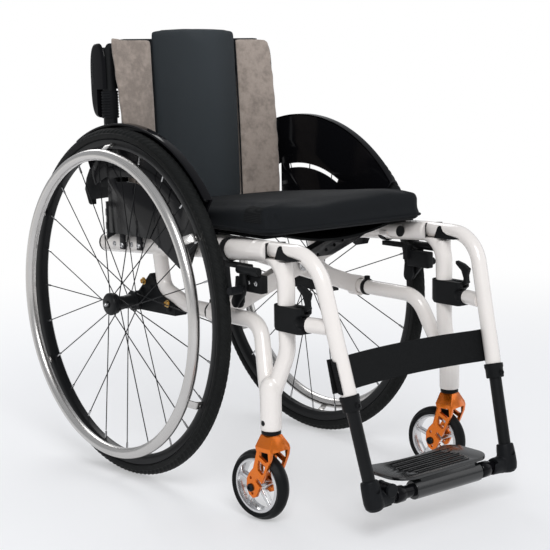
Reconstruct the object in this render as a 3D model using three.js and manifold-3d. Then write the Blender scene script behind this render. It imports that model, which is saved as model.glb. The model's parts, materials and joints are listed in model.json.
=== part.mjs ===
// Lightweight folding manual wheelchair with swing-away footrests.
// Millimetres, +Z up. The chair faces -Y, and the occupant's right side is at -X.
// Each side is modelled once, outboard to +X, and the right side is its mirror image.
import * as THREE from "three";
import { mergeVertices } from "three/addons/utils/BufferGeometryUtils.js";
import Module from "manifold-3d";

const wasm = await Module();
wasm.setup();

// Clearances
const fit = 0.3; // between pieces that seat on each other
const running = 0.4; // round a turning shaft
const overrun = 2; // how far a cutting tool passes a face

// Side frame, in its own plane
const frameX = 172;
const topTubeRadius = 17;
const topTubeRearY = 108;
const topTubeRearZ = 391;
const topTubeFrontY = -352;
const topTubeFrontZ = 420;
const lowTubeRadius = 13;
const lowTubeZ = 306;
const lowTubeRearY = -140;
const lowTubeRearBend = 60;
const downTubeTopY = -53;
const downTubeKneeY = -67;
const downTubeKneeZ = 328;
const downTubeBend = 26;
const lowTubeFrontY = -327;
const lowTubeBend = 42;
const lowTubeEndY = -374;
const lowTubeEndZ = 190;
const frontTubeRadius = 13;
const frontTubeTopY = -376;
const frontTubeTopZ = 404;
const frontTubeKneeY = -391;
const frontTubeKneeZ = 268;
const frontTubeBend = 34;
const frontTubeEndZ = 196;
const neckRadius = 15.5;
const neckStartY = -292;
const neckStartZ = 401;
const neckCornerY = -372;
const neckCornerZ = 398;
const neckEndZ = 344;
const neckBend = 60;
const housingX = 197;
const housingY = -380;
const housingRadius = 17;
const housingBottomZ = 148;
const housingTopZ = 228;
const stemRadius = 6;
const stemLength = 66;
const stemBoreDepth = 70;
const housingPlugRadius = 4.5;
const housingPlugDepth = 2.5;
const housingPlugRise = 13;
const hangerPivotY = -381;
const pivotPinRadius = 5;
const pivotPinLength = 52;

// Seat rails, their saddles and the cross brace
const railX = 142;
const railZ = 419;
const railRadius = 11;
const railFrontY = -316;
const railRearY = 52;
const railWall = 2.5;
const railPlugBore = 3;
const railPlugDepth = 5;
const railBoreDepth = 60;
const saddleWall = 3;
const saddleLength = 16;
const saddleYs = [-110, -288];
const armHeight = 29;
const armThickness = 20;
const armFrontY = -217;
const armRearY = -175;
const armRingRadius = 18.5;
const armTopRadius = 13.4;
const armMidRadius = 17;
const armHoleRadius = 3.5;
const armHolePitch = 20;
const armHoleCount = 4;
const boltRadius = 6;
const boltHeadRadius = 11;
const boltHeadHeight = 5;
const boltRecess = 3;
const boltRecessRadius = 3.4;

// Rear wheel
const wheelRadius = 300;
const wheelX = 214;
const tyreTreadWidth = 12;
const tyreShoulderDrop = 11;
const tyreBulgeRadius = wheelRadius - tyreShoulderDrop;
const tyreWidth = 25;
const tyreHeight = 19;
const tyreBedRadius = wheelRadius - tyreHeight;
const rimWidth = 20;
const rimDepth = 17;
const rimInnerRadius = tyreBedRadius - rimDepth;
const rimInnerWidth = 11;
const rimShoulderRise = 6;
const rimShoulderRadius = rimInnerRadius + rimShoulderRise;
const wheelFacets = 26;
const handrimInset = 8;
const handrimRadius = rimInnerRadius - handrimInset;
const handrimTube = 9.5;
const handrimOffset = 35;
const tabCount = 6;
const tabWidth = 15;
const tabThickness = 4;
const tabRimRise = 4;
const tabRimRadius = rimShoulderRadius + tabRimRise;
const tabRimReach = 4;
const hubInnerOffset = -26;
const hubOuterOffset = 31;
const hubFacets = 10;
const hubFlangeRadius = 18;
const hubFlangeWidth = 5;
const hubBodyRadius = 12;
const hubCapRadius = 19.5;
const hubCapWidth = 8;
const spokeCount = 24;
const spokeRadius = 1.1;
const spokeOffset = 1.8;
const spokeLaceAngle = THREE.MathUtils.degToRad(62);

// Axle and its bracket
const axleRadius = 6;
const axleZ = wheelRadius;
const bracketWidth = 24;
const bossRadius = 17;
const bracketHighY = -40;
const bracketHighZ = 352;
const bracketLowY = -112;
const bracketLowZ = 287;
const bracketPocketRadius = 9;
const bracketPocketDepth = 3;
const bracketBoltRadius = 5;
const bracketBoltHeight = 4;
const receiverRadius = 13.5;
const receiverInnerX = 156;
const axleEndX = 246;
const buttonRadius = 3.2;
const buttonProud = 6;
const buttonTravel = 5;
const buttonLength = 30;

// Casters
const casterRadius = 56;
const casterTrail = 25;
const casterTyreWidth = 26;
const casterTreadWidth = 16;
const casterBulgeRadius = 50;
const casterBedRadius = 44;
const casterRimRadius = 38;
const casterRimWidth = 22;
const casterRimDish = 7;
const casterFacets = 18;
const casterHubRadius = 10;
const casterHubWidth = 30;
const casterSpokes = 5;
const casterSpokeWidth = 8;
const casterSpokeThickness = 9;
const casterAxleRadius = 4;
const forkInside = 16.5;
const forkWall = 5.5;
const forkTopZ = 139;
const forkCrownZ = 118;
const forkCrownDepth = 34;
const forkCrownWidth = 27;
const forkRidge = 5;
const forkLegTopZ = 132;
const forkShoulderZ = 122;
const forkWaistZ = 86;
const forkPlateZ = 75;
const forkToeZ = 46;
const forkFrontY = -24;
const forkRearY = 17;
const forkPlateY = 35;
const forkToeRadius = 9;
const forkHoleRadius = 2.6;
const forkHolePitch = 11.5;
const forkBar = 4.6;
const sealRadius = 15.5;
const sealGap = 0.5;
const casterHeadRadius = 6.5;
const casterHeadHeight = 3;
const casterTurnRight = THREE.MathUtils.degToRad(8);
const casterTurnLeft = THREE.MathUtils.degToRad(12);

// Swing-away hanger and footrest
const hangerRadius = 12.5;
const hangerTopZ = 424;
const hangerKneeY = -461;
const hangerKneeX = 171;
const hangerBend = 62;
const hangerEndRadius = 24;
const wedgeWidth = 24;
const wedgeFrontY = -408;
const wedgeTopZ = 417;
const collarRadius = 15.5;
const collarLength = 20;
const collarLip = 4;
const hangerEndZ = 216;
const postRadius = 10;
const postTopZ = 292;
const postTravel = 40;
const elbowX = 148;
const elbowY = -552;
const elbowZ = 79;
const elbowRadius = 15;
const elbowSocketTopZ = 104;
const barZ = 64;
const barRadius = 10;
const barHingeX = 118;
const barHingeZ = 78;
const barTipX = 117;
const barCollarRadius = 13;
const barCollarStart = 102;
const barCollarEnd = 84;
const knuckleRadius = 10;
const knuckleWidth = 20;
const knucklePinRadius = 4;
const cheekThickness = 4;
const shelfThickness = 5;
const shelfReach = 108;
const shelfWidth = 20;
const stubRadius = 12;
const stubZ = 318;
const stubEndRadius = 50;

// Footplate
const plateLength = 205;
const plateDepth = 92;
const plateThickness = 5;
const plateTopZ = 87;
const plateFrontY = -560;
const plateCorner = 34;
const plateBow = 10;
const plateSlotWidth = 7;
const plateSlotLength = 128;
const plateSlotPitch = 15;
const plateSlotCount = 4;
const plateRibHeight = 2;
const plateRibWidth = 3;
const sleeveRadius = 15;
const sleeveRightX = -64;
const sleeveLeftX = 80;
const sleeveWebWidth = 20;

// Footrest latch
const latchHeight = 46;
const latchWall = 5;
const latchFrontRadius = 57;
const latchHalfWidth = 18;
const latchPivotY = -419;
const latchPivotZ = 331;
const latchPinRadius = 2.5;
const latchSlotWidth = 10;
const leverWidth = 9;
const leverRoot = 7;
const leverTipY = -406;
const leverTipZ = 368;
const leverBellyY = -441;
const leverBellyZ = 354;

// Brake
const brakeY = -266;
const brakeBandRadius = 18.9;
const brakeBandLength = 20;
const brakeBlockInnerX = 160;
const brakeBlockOuterX = 189;
const brakeBlockLowZ = 336;
const brakeBlockStep = 12;
const brakePivotY = -292;
const brakePivotZ = 336;
const brakeBossRadius = 9;
const brakePinRadius = 3.5;
const brakeArmX = 190;
const brakeArmThickness = 6;
const shoeOuterX = 224;
const shoeRadius = 6;
const shoeY = -315;
const shoeZ = 359;
const brakeGripY = -336;
const brakeGripZ = 386;
const brakeGripRadius = 6;
const brakeGripOuterX = 206;

// Side guard
const guardX = 196;
const guardThickness = 3;
const guardTyreRoom = 7;
const guardRadius = wheelRadius + guardTyreRoom;
const guardLip = 12;
const guardLipThickness = 4;
const guardBandDepth = 86;
const guardBandInner = guardRadius - guardBandDepth;
const guardLowZ = 414;
const guardRearY = 62;
const guardRearZ = 500;
const guardHeelY = -69;
const guardKneeY = -147;
const guardKneeZ = 373;
const guardTipZ = 379;
const guardTipDepth = 46;
const guardRearAngle = THREE.MathUtils.degToRad(62);
const guardFrontAngle = THREE.MathUtils.degToRad(141);
const guardSlotInner = 207;
const guardSlotOuter = 215;
const guardRecessInner = 238;
const guardRecessOuter = 280;
const guardRecess = 1.2;
const guardFacets = 11;
const guardTabYs = [22, -30];
const guardTabWidth = 16;
const guardStudRadius = 5;

// Back posts, push handles and backrest
const caneX = 172;
const caneY = 84;
const caneRadius = 12.5;
const caneLean = THREE.MathUtils.degToRad(1);
const canePivotZ = 528;
const caneRise = 214;
const caneTopZ = canePivotZ + caneRise;
const caneGripDrop = 130;
const caneGripBottomZ = caneTopZ - caneGripDrop;
const caneGripHeight = 48;
const caneGripTopZ = caneGripBottomZ + caneGripHeight;
const caneGripRadius = 15.5;
const caneButtonRadius = 3;
const caneButtonProud = 1.5;
const caneButtonDrops = [70, 52];
const caneButtonZs = caneButtonDrops.map((drop) => caneTopZ - drop);
const footSleeveRadius = 16;
const footSleeveTopZ = 465;
const footNeckRadius = 10;
const ribPitch = 24;
const ribDepth = 1;
const footHeadDrop = 36;
const footHeadBottomZ = canePivotZ - footHeadDrop;
const footHeadWidth = 36;
const footHeadDepth = 24;
const footCheek = 6;
const canePinRadius = 4;
const strutRearY = 170;
const strutDrop = 8;
const strutHighZ = canePivotZ - strutDrop;
const strutHeight = 56;
const strutLowZ = strutHighZ - strutHeight;
const strutThickness = 12;
const strutTail = 18;
const windowFrontY = 106;
const windowRearY = 138;
const windowDrop = 11;
const windowHighZ = strutHighZ - windowDrop;
const windowHeight = 11;
const windowLowZ = windowHighZ - windowHeight;
const handlePivotDrop = 20;
const handlePivotZ = caneTopZ - handlePivotDrop;
const handlePivotY = 111;
const handleHubRadius = 13;
const handleDrop = 97;
const handleWidth = 26;
const handleDepth = 38;
const handleToeRadius = 14;
const handleLug = 9;
const handlePinRadius = 3.5;
const backBottomZ = 462;
const backTopZ = 750;
const shellFrontY = 71.6;
const shellThickness = 6;
const bolsterFrontY = 56;
const bolsterInnerX = 94.5;
const bolsterOuterX = 184;
const bolsterWing = 12;
const padFrontY = 48;
const padHalfWidth = 93;
const padTopZ = 764;
const padCrown = 5;
const padSetback = 6; // how much farther back the top of the pad lies than its foot
const bolsterTaper = 4;

// Seat
const cushionHalfWidth = 182;
const cushionFrontY = -357;
const cushionRearY = 42;
const cushionTopZ = 494;
const cushionFall = 30; // how much lower the top lies at the rear than at the front
const cushionCrown = 7;
const cushionDrawIn = 5;
const slingThickness = 5;
const slingSag = 16;
const slingHalfWidth = 156;
const slingFrontY = -318;
const slingRearY = 48;
const slingTopZ = railZ + armTopRadius + 2 * fit + slingThickness;

// Calf strap
const strapHeight = 50;
const strapThickness = 3;
const strapZ = 247;
const strapSag = 16;

// Colours of the finishes
const finishes = {
  frame: { color: 0xece6e2, roughness: 0.25, metalness: 0.0 },
  black: { color: 0x17181a, roughness: 0.45, metalness: 0.0 },
  rubber: { color: 0x1c1d1e, roughness: 0.85, metalness: 0.0 },
  silver: { color: 0xc4c2be, roughness: 0.3, metalness: 0.9 },
  polished: { color: 0xd8d8d8, roughness: 0.12, metalness: 1.0 },
  orange: { color: 0xc8560f, roughness: 0.3, metalness: 0.7 },
  steel: { color: 0x9a9c9e, roughness: 0.3, metalness: 1.0 },
  fabric: { color: 0x1d1f22, roughness: 0.9, metalness: 0.0 },
  mesh: { color: 0x3c464d, roughness: 0.85, metalness: 0.0 },
  suede: { color: 0x9a8d85, roughness: 0.95, metalness: 0.0 },
};
const materials = Object.fromEntries(
  Object.entries(finishes).map(([name, look]) => [name, new THREE.MeshStandardMaterial(look)]),
);

// A closed geometry as a solid for joining and cutting, its faces turned outwards
function solidOf(geometry) {
  const bare = geometry.index ? geometry.toNonIndexed() : geometry.clone();
  bare.deleteAttribute("normal");
  bare.deleteAttribute("uv");
  const merged = mergeVertices(bare, 1e-4);
  const build = (triVerts) =>
    new wasm.Manifold(
      new wasm.Mesh({ numProp: 3, vertProperties: merged.attributes.position.array, triVerts }),
    );
  const triVerts = new Uint32Array(merged.index.array);
  const made = build(triVerts);
  if (made.volume() > 0) return made;
  return build(triVerts.reverse());
}

function geometryOf(solid) {
  const { vertProperties, triVerts, numProp } = solid.getMesh();
  const positions = new Float32Array(triVerts.length * 3);
  triVerts.forEach((vertex, i) => {
    for (let k = 0; k < 3; k++) positions[3 * i + k] = vertProperties[vertex * numProp + k];
  });
  const geometry = new THREE.BufferGeometry();
  geometry.setAttribute("position", new THREE.BufferAttribute(positions, 3));
  geometry.computeVertexNormals();
  return geometry;
}

const join = (...geometries) =>
  geometryOf(geometries.map(solidOf).reduce((sum, piece) => sum.add(piece)));
const cut = (body, ...tools) =>
  geometryOf(tools.map(solidOf).reduce((rest, tool) => rest.subtract(tool), solidOf(body)));

// A pipe run through corner points, each [x, y, z, bend radius]; rings stand only where the pipe bends
class PipeRun extends THREE.Curve {
  constructor(corners, bendSteps = 3) {
    super();
    this.points = [];
    this.tangents = [];
    const at = corners.map(([x, y, z]) => new THREE.Vector3(x, y, z));
    const add = (point, tangent) => {
      this.points.push(point);
      this.tangents.push(tangent);
    };
    at.forEach((corner, i) => {
      const before = i > 0 ? corner.clone().sub(at[i - 1]).normalize() : null;
      const after = i < at.length - 1 ? at[i + 1].clone().sub(corner).normalize() : null;
      if (!before || !after) {
        add(corner, (before || after).clone());
        return;
      }
      const turn = before.angleTo(after);
      const bend = corners[i][3];
      const setback = bend * Math.tan(turn / 2);
      const inward = after.clone().sub(before).normalize();
      const centre = corner.clone().addScaledVector(inward, bend / Math.cos(turn / 2));
      const start = corner.clone().addScaledVector(before, -setback).sub(centre);
      const axis = before.clone().cross(after).normalize();
      for (let step = 0; step <= bendSteps; step++) {
        const angle = (turn * step) / bendSteps;
        add(
          start.clone().applyAxisAngle(axis, angle).add(centre),
          before.clone().applyAxisAngle(axis, angle),
        );
      }
    });
    this.steps = this.points.length - 1;
  }
  getPoint(t) {
    const place = t * this.steps;
    const i = Math.min(Math.floor(place), this.steps - 1);
    return this.points[i].clone().lerp(this.points[i + 1], place - i);
  }
  getTangent(t) {
    const place = t * this.steps;
    const i = Math.min(Math.floor(place), this.steps - 1);
    return this.tangents[i].clone().lerp(this.tangents[i + 1], place - i).normalize();
  }
  getPointAt(u) {
    return this.getPoint(u);
  }
  getTangentAt(u) {
    return this.getTangent(u);
  }
}

function roundSection(radius, sides) {
  const corners = [];
  for (let i = 0; i < sides; i++) {
    const angle = (2 * Math.PI * i) / sides;
    corners.push(new THREE.Vector2(radius * Math.cos(angle), radius * Math.sin(angle)));
  }
  return new THREE.Shape(corners);
}

function pipe(run, radius, sides = 12) {
  return new THREE.ExtrudeGeometry(roundSection(radius, sides), {
    steps: run.steps,
    extrudePath: run,
    bevelEnabled: false,
  });
}

const rod = (from, to, radius, sides = 12) => pipe(new PipeRun([from, to]), radius, sides);

// A facetted round's corner radius, from the radius of its flats
const cornerRadius = (flatRadius, facets) => flatRadius / Math.cos(Math.PI / facets);

// The room that a round piece turns or sits in: its flats clear the radius
const room = (run, radius, sides) => pipe(run, cornerRadius(radius, sides), sides);
const bore = (from, to, radius, sides = 8) => room(new PipeRun([from, to]), radius, sides);

// A plate from an outline of [a, b] points, thickness along the named axis, centred there
function plate(outline, axis, centre, thickness, holes = []) {
  const shape = new THREE.Shape(outline.map(([a, b]) => new THREE.Vector2(a, b)));
  holes.forEach((hole) =>
    shape.holes.push(new THREE.Path(hole.map(([a, b]) => new THREE.Vector2(a, b)))),
  );
  const geometry = new THREE.ExtrudeGeometry(shape, { depth: thickness, bevelEnabled: false });
  geometry.translate(0, 0, -thickness / 2);
  if (axis === "x") {
    // outline in (y, z)
    geometry.rotateY(Math.PI / 2).rotateX(Math.PI / 2);
    geometry.translate(centre, 0, 0);
  } else if (axis === "y") {
    // outline in (x, z)
    geometry.rotateX(Math.PI / 2);
    geometry.translate(0, centre, 0);
  } else {
    geometry.translate(0, 0, centre);
  }
  return geometry;
}

function circle(a, b, radius, sides = 10) {
  const points = [];
  for (let i = 0; i < sides; i++) {
    const angle = (2 * Math.PI * i) / sides;
    points.push([a + radius * Math.cos(angle), b + radius * Math.sin(angle)]);
  }
  return points;
}

// Points along an arc about (a, b), both ends included
function arc(a, b, radius, from, to, steps) {
  const points = [];
  for (let i = 0; i <= steps; i++) {
    const angle = from + ((to - from) * i) / steps;
    points.push([a + radius * Math.cos(angle), b + radius * Math.sin(angle)]);
  }
  return points;
}

// A band between two radii about (a, b)
function ringBand(a, b, inner, outer, from, to, steps) {
  return [...arc(a, b, outer, from, to, steps), ...arc(a, b, inner, to, from, steps)];
}

// Two round ends of different radii joined by their tangents
function linkOutline([a1, b1, r1], [a2, b2, r2], steps = 6) {
  const along = Math.atan2(b2 - b1, a2 - a1);
  const lean = Math.acos((r1 - r2) / Math.hypot(a2 - a1, b2 - b1));
  return [
    ...arc(a1, b1, r1, along + lean, along + 2 * Math.PI - lean, steps),
    ...arc(a2, b2, r2, along - lean, along + lean, steps),
  ];
}

// A turned piece about the X axis from a profile of [x, radius] points
function turned(profile, facets) {
  const geometry = new THREE.LatheGeometry(
    profile.map(([x, radius]) => new THREE.Vector2(radius, x)),
    facets,
  );
  // the profile's height runs along X, and a flat facet faces straight down
  return geometry.rotateZ(-Math.PI / 2).rotateX(Math.PI / facets);
}

// A block between two corners
function block([x1, y1, z1], [x2, y2, z2]) {
  const geometry = new THREE.BoxGeometry(Math.abs(x2 - x1), Math.abs(y2 - y1), Math.abs(z2 - z1));
  return geometry.translate((x1 + x2) / 2, (y1 + y2) / 2, (z1 + z2) / 2);
}

// The heights of the sloping top tube's centre
const topTubeZ = (y) =>
  topTubeRearZ +
  ((topTubeFrontZ - topTubeRearZ) * (y - topTubeRearY)) / (topTubeFrontY - topTubeRearY);

// The straight leg of the hanger and the post inside it, by height
const legAt = (z) => {
  const share = (hangerTopZ - z) / (hangerTopZ - elbowZ);
  return [
    hangerKneeX + (elbowX - hangerKneeX) * share,
    hangerKneeY + (elbowY - hangerKneeY) * share,
    z,
  ];
};

// The down tube and the low tube are one bent pipe, from the top tube to the caster housing
const lowRoute = () =>
  new PipeRun([
    [frameX, downTubeTopY, topTubeZ(downTubeTopY)],
    [frameX, downTubeKneeY, downTubeKneeZ, downTubeBend],
    [frameX, lowTubeRearY, lowTubeZ, lowTubeRearBend],
    [frameX, lowTubeFrontY, lowTubeZ, lowTubeBend],
    [housingX, lowTubeEndY, lowTubeEndZ],
  ]);

// Where a cross brace arm stands at rest
const armRise = railZ - lowTubeZ;
const armSpan = railX + frameX;
const armAngle = Math.atan2(armRise, armSpan);
const boltZ = lowTubeZ + frameX * Math.tan(armAngle);

const placed = (mesh, [x, y, z]) => {
  mesh.position.set(x, y, z);
  return mesh;
};

// A named mesh of one closed body
function piece(name, geometry, finish, at = [0, 0, 0]) {
  const mesh = new THREE.Mesh(geometryOf(solidOf(geometry)), materials[finish]);
  mesh.name = name;
  return placed(mesh, at);
}

// A piece of the left side, or its mirror image for the right side
const mirrored = (geometry) => geometryOf(solidOf(geometry.clone().scale(-1, 1, 1)));

// Side frame: top tube, one bent low tube, curved front tube, caster housing and rail saddles
function sideFrame() {
  const topTube = rod(
    [frameX, topTubeRearY, topTubeRearZ],
    [frameX, topTubeFrontY, topTubeFrontZ],
    topTubeRadius,
    10,
  );
  const low = pipe(lowRoute(), lowTubeRadius, 10);
  const neck = pipe(
    new PipeRun(
      [
        [frameX, neckStartY, neckStartZ],
        [frameX, neckCornerY, neckCornerZ, neckBend],
        [frameX, frontTubeKneeY, neckEndZ],
      ],
      4,
    ),
    neckRadius,
    10,
  );
  const front = pipe(
    new PipeRun(
      [
        [frameX, frontTubeTopY, frontTubeTopZ],
        [frameX, frontTubeKneeY, frontTubeKneeZ, frontTubeBend],
        [housingX, housingY, frontTubeEndZ],
      ],
      3,
    ),
    frontTubeRadius,
    10,
  );
  const housing = rod(
    [housingX, housingY, housingBottomZ],
    [housingX, housingY, housingTopZ],
    housingRadius,
    10,
  );
  const saddles = saddleYs.map((y) => {
    const outer = railRadius + fit + saddleWall;
    return plate(
      [
        [railX, railZ - outer],
        [frameX, topTubeZ(y) - outer],
        [frameX, topTubeZ(y)],
        [railX + outer, railZ],
        [railX - outer, railZ],
        [railX - outer, railZ - outer / 2],
      ],
      "y",
      y,
      saddleLength,
    );
  });
  const railSeat = bore(
    [railX, railFrontY, railZ],
    [railX, railRearY, railZ],
    railRadius + fit,
    10,
  );
  const hangerSeat = bore(
    [frameX, hangerPivotY, frontTubeTopZ],
    [frameX, hangerPivotY, topTubeFrontZ + topTubeRadius + overrun],
    hangerEndRadius + 2 * running,
    16,
  );
  const pivotBore = bore(
    [frameX, hangerPivotY, frontTubeTopZ - pivotPinLength - overrun],
    [frameX, hangerPivotY, frontTubeTopZ + overrun],
    pivotPinRadius + running,
    8,
  );
  const stemBore = bore(
    [housingX, housingY, housingBottomZ - overrun],
    [housingX, housingY, housingBottomZ + stemBoreDepth],
    stemRadius + running,
    8,
  );
  const plugRecess = rod(
    [housingX + housingRadius - housingPlugDepth, housingY, housingBottomZ + housingPlugRise],
    [housingX + housingRadius + overrun, housingY, housingBottomZ + housingPlugRise],
    housingPlugRadius,
    6,
  );
  return cut(
    join(topTube, low, neck, front, housing, ...saddles),
    railSeat,
    hangerSeat,
    pivotBore,
    stemBore,
    plugRecess,
  );
}

// Rear wheel pieces, about the axle line at the origin, outboard to +X
function rearTyre() {
  const half = tyreWidth / 2;
  const tread = tyreTreadWidth / 2;
  return turned(
    [
      [-rimWidth / 2, tyreBedRadius],
      [rimWidth / 2, tyreBedRadius],
      [half, tyreBulgeRadius],
      [tread, wheelRadius],
      [-tread, wheelRadius],
      [-half, tyreBulgeRadius],
      [-rimWidth / 2, tyreBedRadius],
    ].map(([x, radius]) => [x, cornerRadius(radius, wheelFacets)]),
    wheelFacets,
  );
}

function rearRim() {
  const outer = tyreBedRadius - fit;
  return turned(
    [
      [-rimInnerWidth / 2, rimInnerRadius],
      [rimInnerWidth / 2, rimInnerRadius],
      [rimWidth / 2, rimShoulderRadius],
      [rimWidth / 2, outer],
      [-rimWidth / 2, outer],
      [-rimWidth / 2, rimShoulderRadius],
      [-rimInnerWidth / 2, rimInnerRadius],
    ].map(([x, radius]) => [x, cornerRadius(radius, wheelFacets)]),
    wheelFacets,
  );
}

// The handrim with the tabs that hold it to the side of the rim
function handrim() {
  const sides = 6;
  const section = [];
  for (let i = 0; i <= sides; i++) {
    const angle = (2 * Math.PI * i) / sides;
    section.push([
      handrimOffset + handrimTube * Math.cos(angle),
      handrimRadius + handrimTube * Math.sin(angle),
    ]);
  }
  const ring = turned(section, wheelFacets);
  const foot = rimWidth / 2 + fit;
  const tabs = [];
  for (let i = 0; i < tabCount; i++) {
    const angle = (2 * Math.PI * i) / tabCount;
    tabs.push(
      plate(
        [
          [foot, tabRimRadius - tabRimReach],
          [foot + tabThickness, tabRimRadius - tabRimReach],
          [handrimOffset, handrimRadius - tabThickness / 2],
          [handrimOffset, handrimRadius + tabThickness / 2],
          [foot + tabThickness, tabRimRadius + tabRimReach],
          [foot, tabRimRadius + tabRimReach],
        ],
        "y",
        0,
        tabWidth,
      ).rotateX(angle),
    );
  }
  return join(ring, ...tabs);
}

// Hub shell with its two flanges and the laced spokes
function rearHub() {
  const boreEnd = cornerRadius(axleRadius + running, hubFacets);
  const shell = turned(
    [
      [hubInnerOffset, boreEnd],
      [hubInnerOffset, hubFlangeRadius - hubFlangeWidth],
      [hubInnerOffset + hubFlangeWidth, hubFlangeRadius],
      [hubInnerOffset + 2 * hubFlangeWidth, hubBodyRadius],
      [hubOuterOffset - 2 * hubFlangeWidth - hubCapWidth, hubBodyRadius],
      [hubOuterOffset - hubFlangeWidth - hubCapWidth, hubFlangeRadius],
      [hubOuterOffset - hubCapWidth / 2, hubCapRadius],
      [hubOuterOffset, hubCapRadius - hubCapWidth / 2],
      [hubOuterOffset, boreEnd],
      [hubInnerOffset, boreEnd],
    ],
    hubFacets,
  );
  const flanges = [
    hubInnerOffset + hubFlangeWidth,
    hubOuterOffset - hubFlangeWidth - hubCapWidth,
  ];
  const headRadius = (hubBodyRadius + hubFlangeRadius) / 2;
  const spokes = [];
  for (let i = 0; i < spokeCount; i++) {
    const side = i % 2;
    const lean = Math.floor(i / 2) % 2 ? 1 : -1;
    const rimAngle = (2 * Math.PI * i) / spokeCount;
    const hubAngle = rimAngle + lean * spokeLaceAngle;
    const x = flanges[side];
    const reach = rimInnerRadius - fit;
    spokes.push(
      rod(
        [
          x + lean * spokeOffset,
          headRadius * Math.cos(hubAngle),
          headRadius * Math.sin(hubAngle),
        ],
        [lean * spokeOffset, reach * Math.cos(rimAngle), reach * Math.sin(rimAngle)],
        spokeRadius,
        3,
      ),
    );
  }
  return join(shell, ...spokes);
}

// Axle tube in its cast bracket, which hugs the back of the down tube
function axleBracket() {
  const depth = bracketWidth;
  const casting = plate(
    [
      ...arc(0, axleZ, bossRadius, Math.PI * 1.35, Math.PI * 2.55, 8),
      [bracketHighY, bracketHighZ],
      [downTubeKneeY, downTubeKneeZ],
      [bracketLowY, (downTubeKneeZ + lowTubeZ) / 2],
      [bracketLowY, bracketLowZ],
    ],
    "x",
    frameX,
    depth,
  );
  const receiver = rod(
    [receiverInnerX, 0, axleZ],
    [wheelX + hubInnerOffset - running, 0, axleZ],
    receiverRadius,
    12,
  );
  const axle = rod([receiverInnerX, 0, axleZ], [axleEndX, 0, axleZ], axleRadius, 10);
  const bolts = [bracketHighY, bracketLowY].map((y, i) => {
    const at = [
      y + (i ? 3 : -1) * bracketBoltRadius,
      i ? bracketLowZ + 2 * bracketBoltRadius : bracketHighZ - 5 * bracketBoltRadius,
    ];
    return rod(
      [frameX + depth / 2 - fit, ...at],
      [frameX + depth / 2 + bracketBoltHeight, ...at],
      bracketBoltRadius,
      6,
    );
  });
  const tubeRoom = room(lowRoute(), lowTubeRadius + fit, 10);
  const pocket = rod(
    [frameX + depth / 2 - bracketPocketDepth, bracketHighY / 2, axleZ + bossRadius],
    [frameX + depth / 2 + overrun, bracketHighY / 2, axleZ + bossRadius],
    bracketPocketRadius,
    8,
  );
  const buttonBore = bore(
    [axleEndX - buttonLength - buttonTravel, 0, axleZ],
    [axleEndX + overrun, 0, axleZ],
    buttonRadius + running,
    8,
  );
  return cut(join(casting, receiver, axle, ...bolts), tubeRoom, pocket, buttonBore);
}

// Release button, pushed inboard into the end of the axle
function axleButton() {
  const tip = buttonProud;
  const root = tip - buttonLength;
  return turned(
    [
      [root, 0],
      [root, buttonRadius],
      [tip - buttonRadius / 2, buttonRadius],
      [tip, buttonRadius / 2],
      [tip, 0],
    ],
    8,
  );
}

// Caster pieces, about the stem line at x = 0, y = 0, with the floor at z = 0
function casterTyre() {
  const half = casterTyreWidth / 2;
  const tread = casterTreadWidth / 2;
  const bed = casterRimWidth / 2;
  return turned(
    [
      [-bed, casterBedRadius],
      [bed, casterBedRadius],
      [half, casterBulgeRadius],
      [tread, casterRadius],
      [-tread, casterRadius],
      [-half, casterBulgeRadius],
      [-bed, casterBedRadius],
    ].map(([x, radius]) => [x, cornerRadius(radius, casterFacets)]),
    casterFacets,
  );
}

function casterRim() {
  const half = casterRimWidth / 2;
  const outer = casterBedRadius - fit;
  const ring = turned(
    [
      [-half, casterRimRadius + casterRimDish / 2],
      [0, casterRimRadius],
      [half, casterRimRadius + casterRimDish / 2],
      [half, outer],
      [-half, outer],
      [-half, casterRimRadius + casterRimDish / 2],
    ].map(([x, radius]) => [x, cornerRadius(radius, casterFacets)]),
    casterFacets,
  );
  const hub = rod([-casterHubWidth / 2, 0, 0], [casterHubWidth / 2, 0, 0], casterHubRadius, 10);
  const spokes = [];
  for (let i = 0; i < casterSpokes; i++) {
    const inner = casterHubRadius / 2;
    const outerEnd = casterRimRadius + casterRimDish / 2;
    spokes.push(
      plate(
        [
          [-casterSpokeThickness / 2, inner],
          [casterSpokeThickness / 2, inner],
          [casterSpokeThickness / 3, outerEnd],
          [-casterSpokeThickness / 3, outerEnd],
        ],
        "y",
        0,
        casterSpokeWidth,
      ).rotateX((2 * Math.PI * i) / casterSpokes),
    );
  }
  const axleBore = bore(
    [-casterHubWidth, 0, 0],
    [casterHubWidth, 0, 0],
    casterAxleRadius + running,
  );
  return cut(join(ring, hub, ...spokes), axleBore);
}

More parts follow.
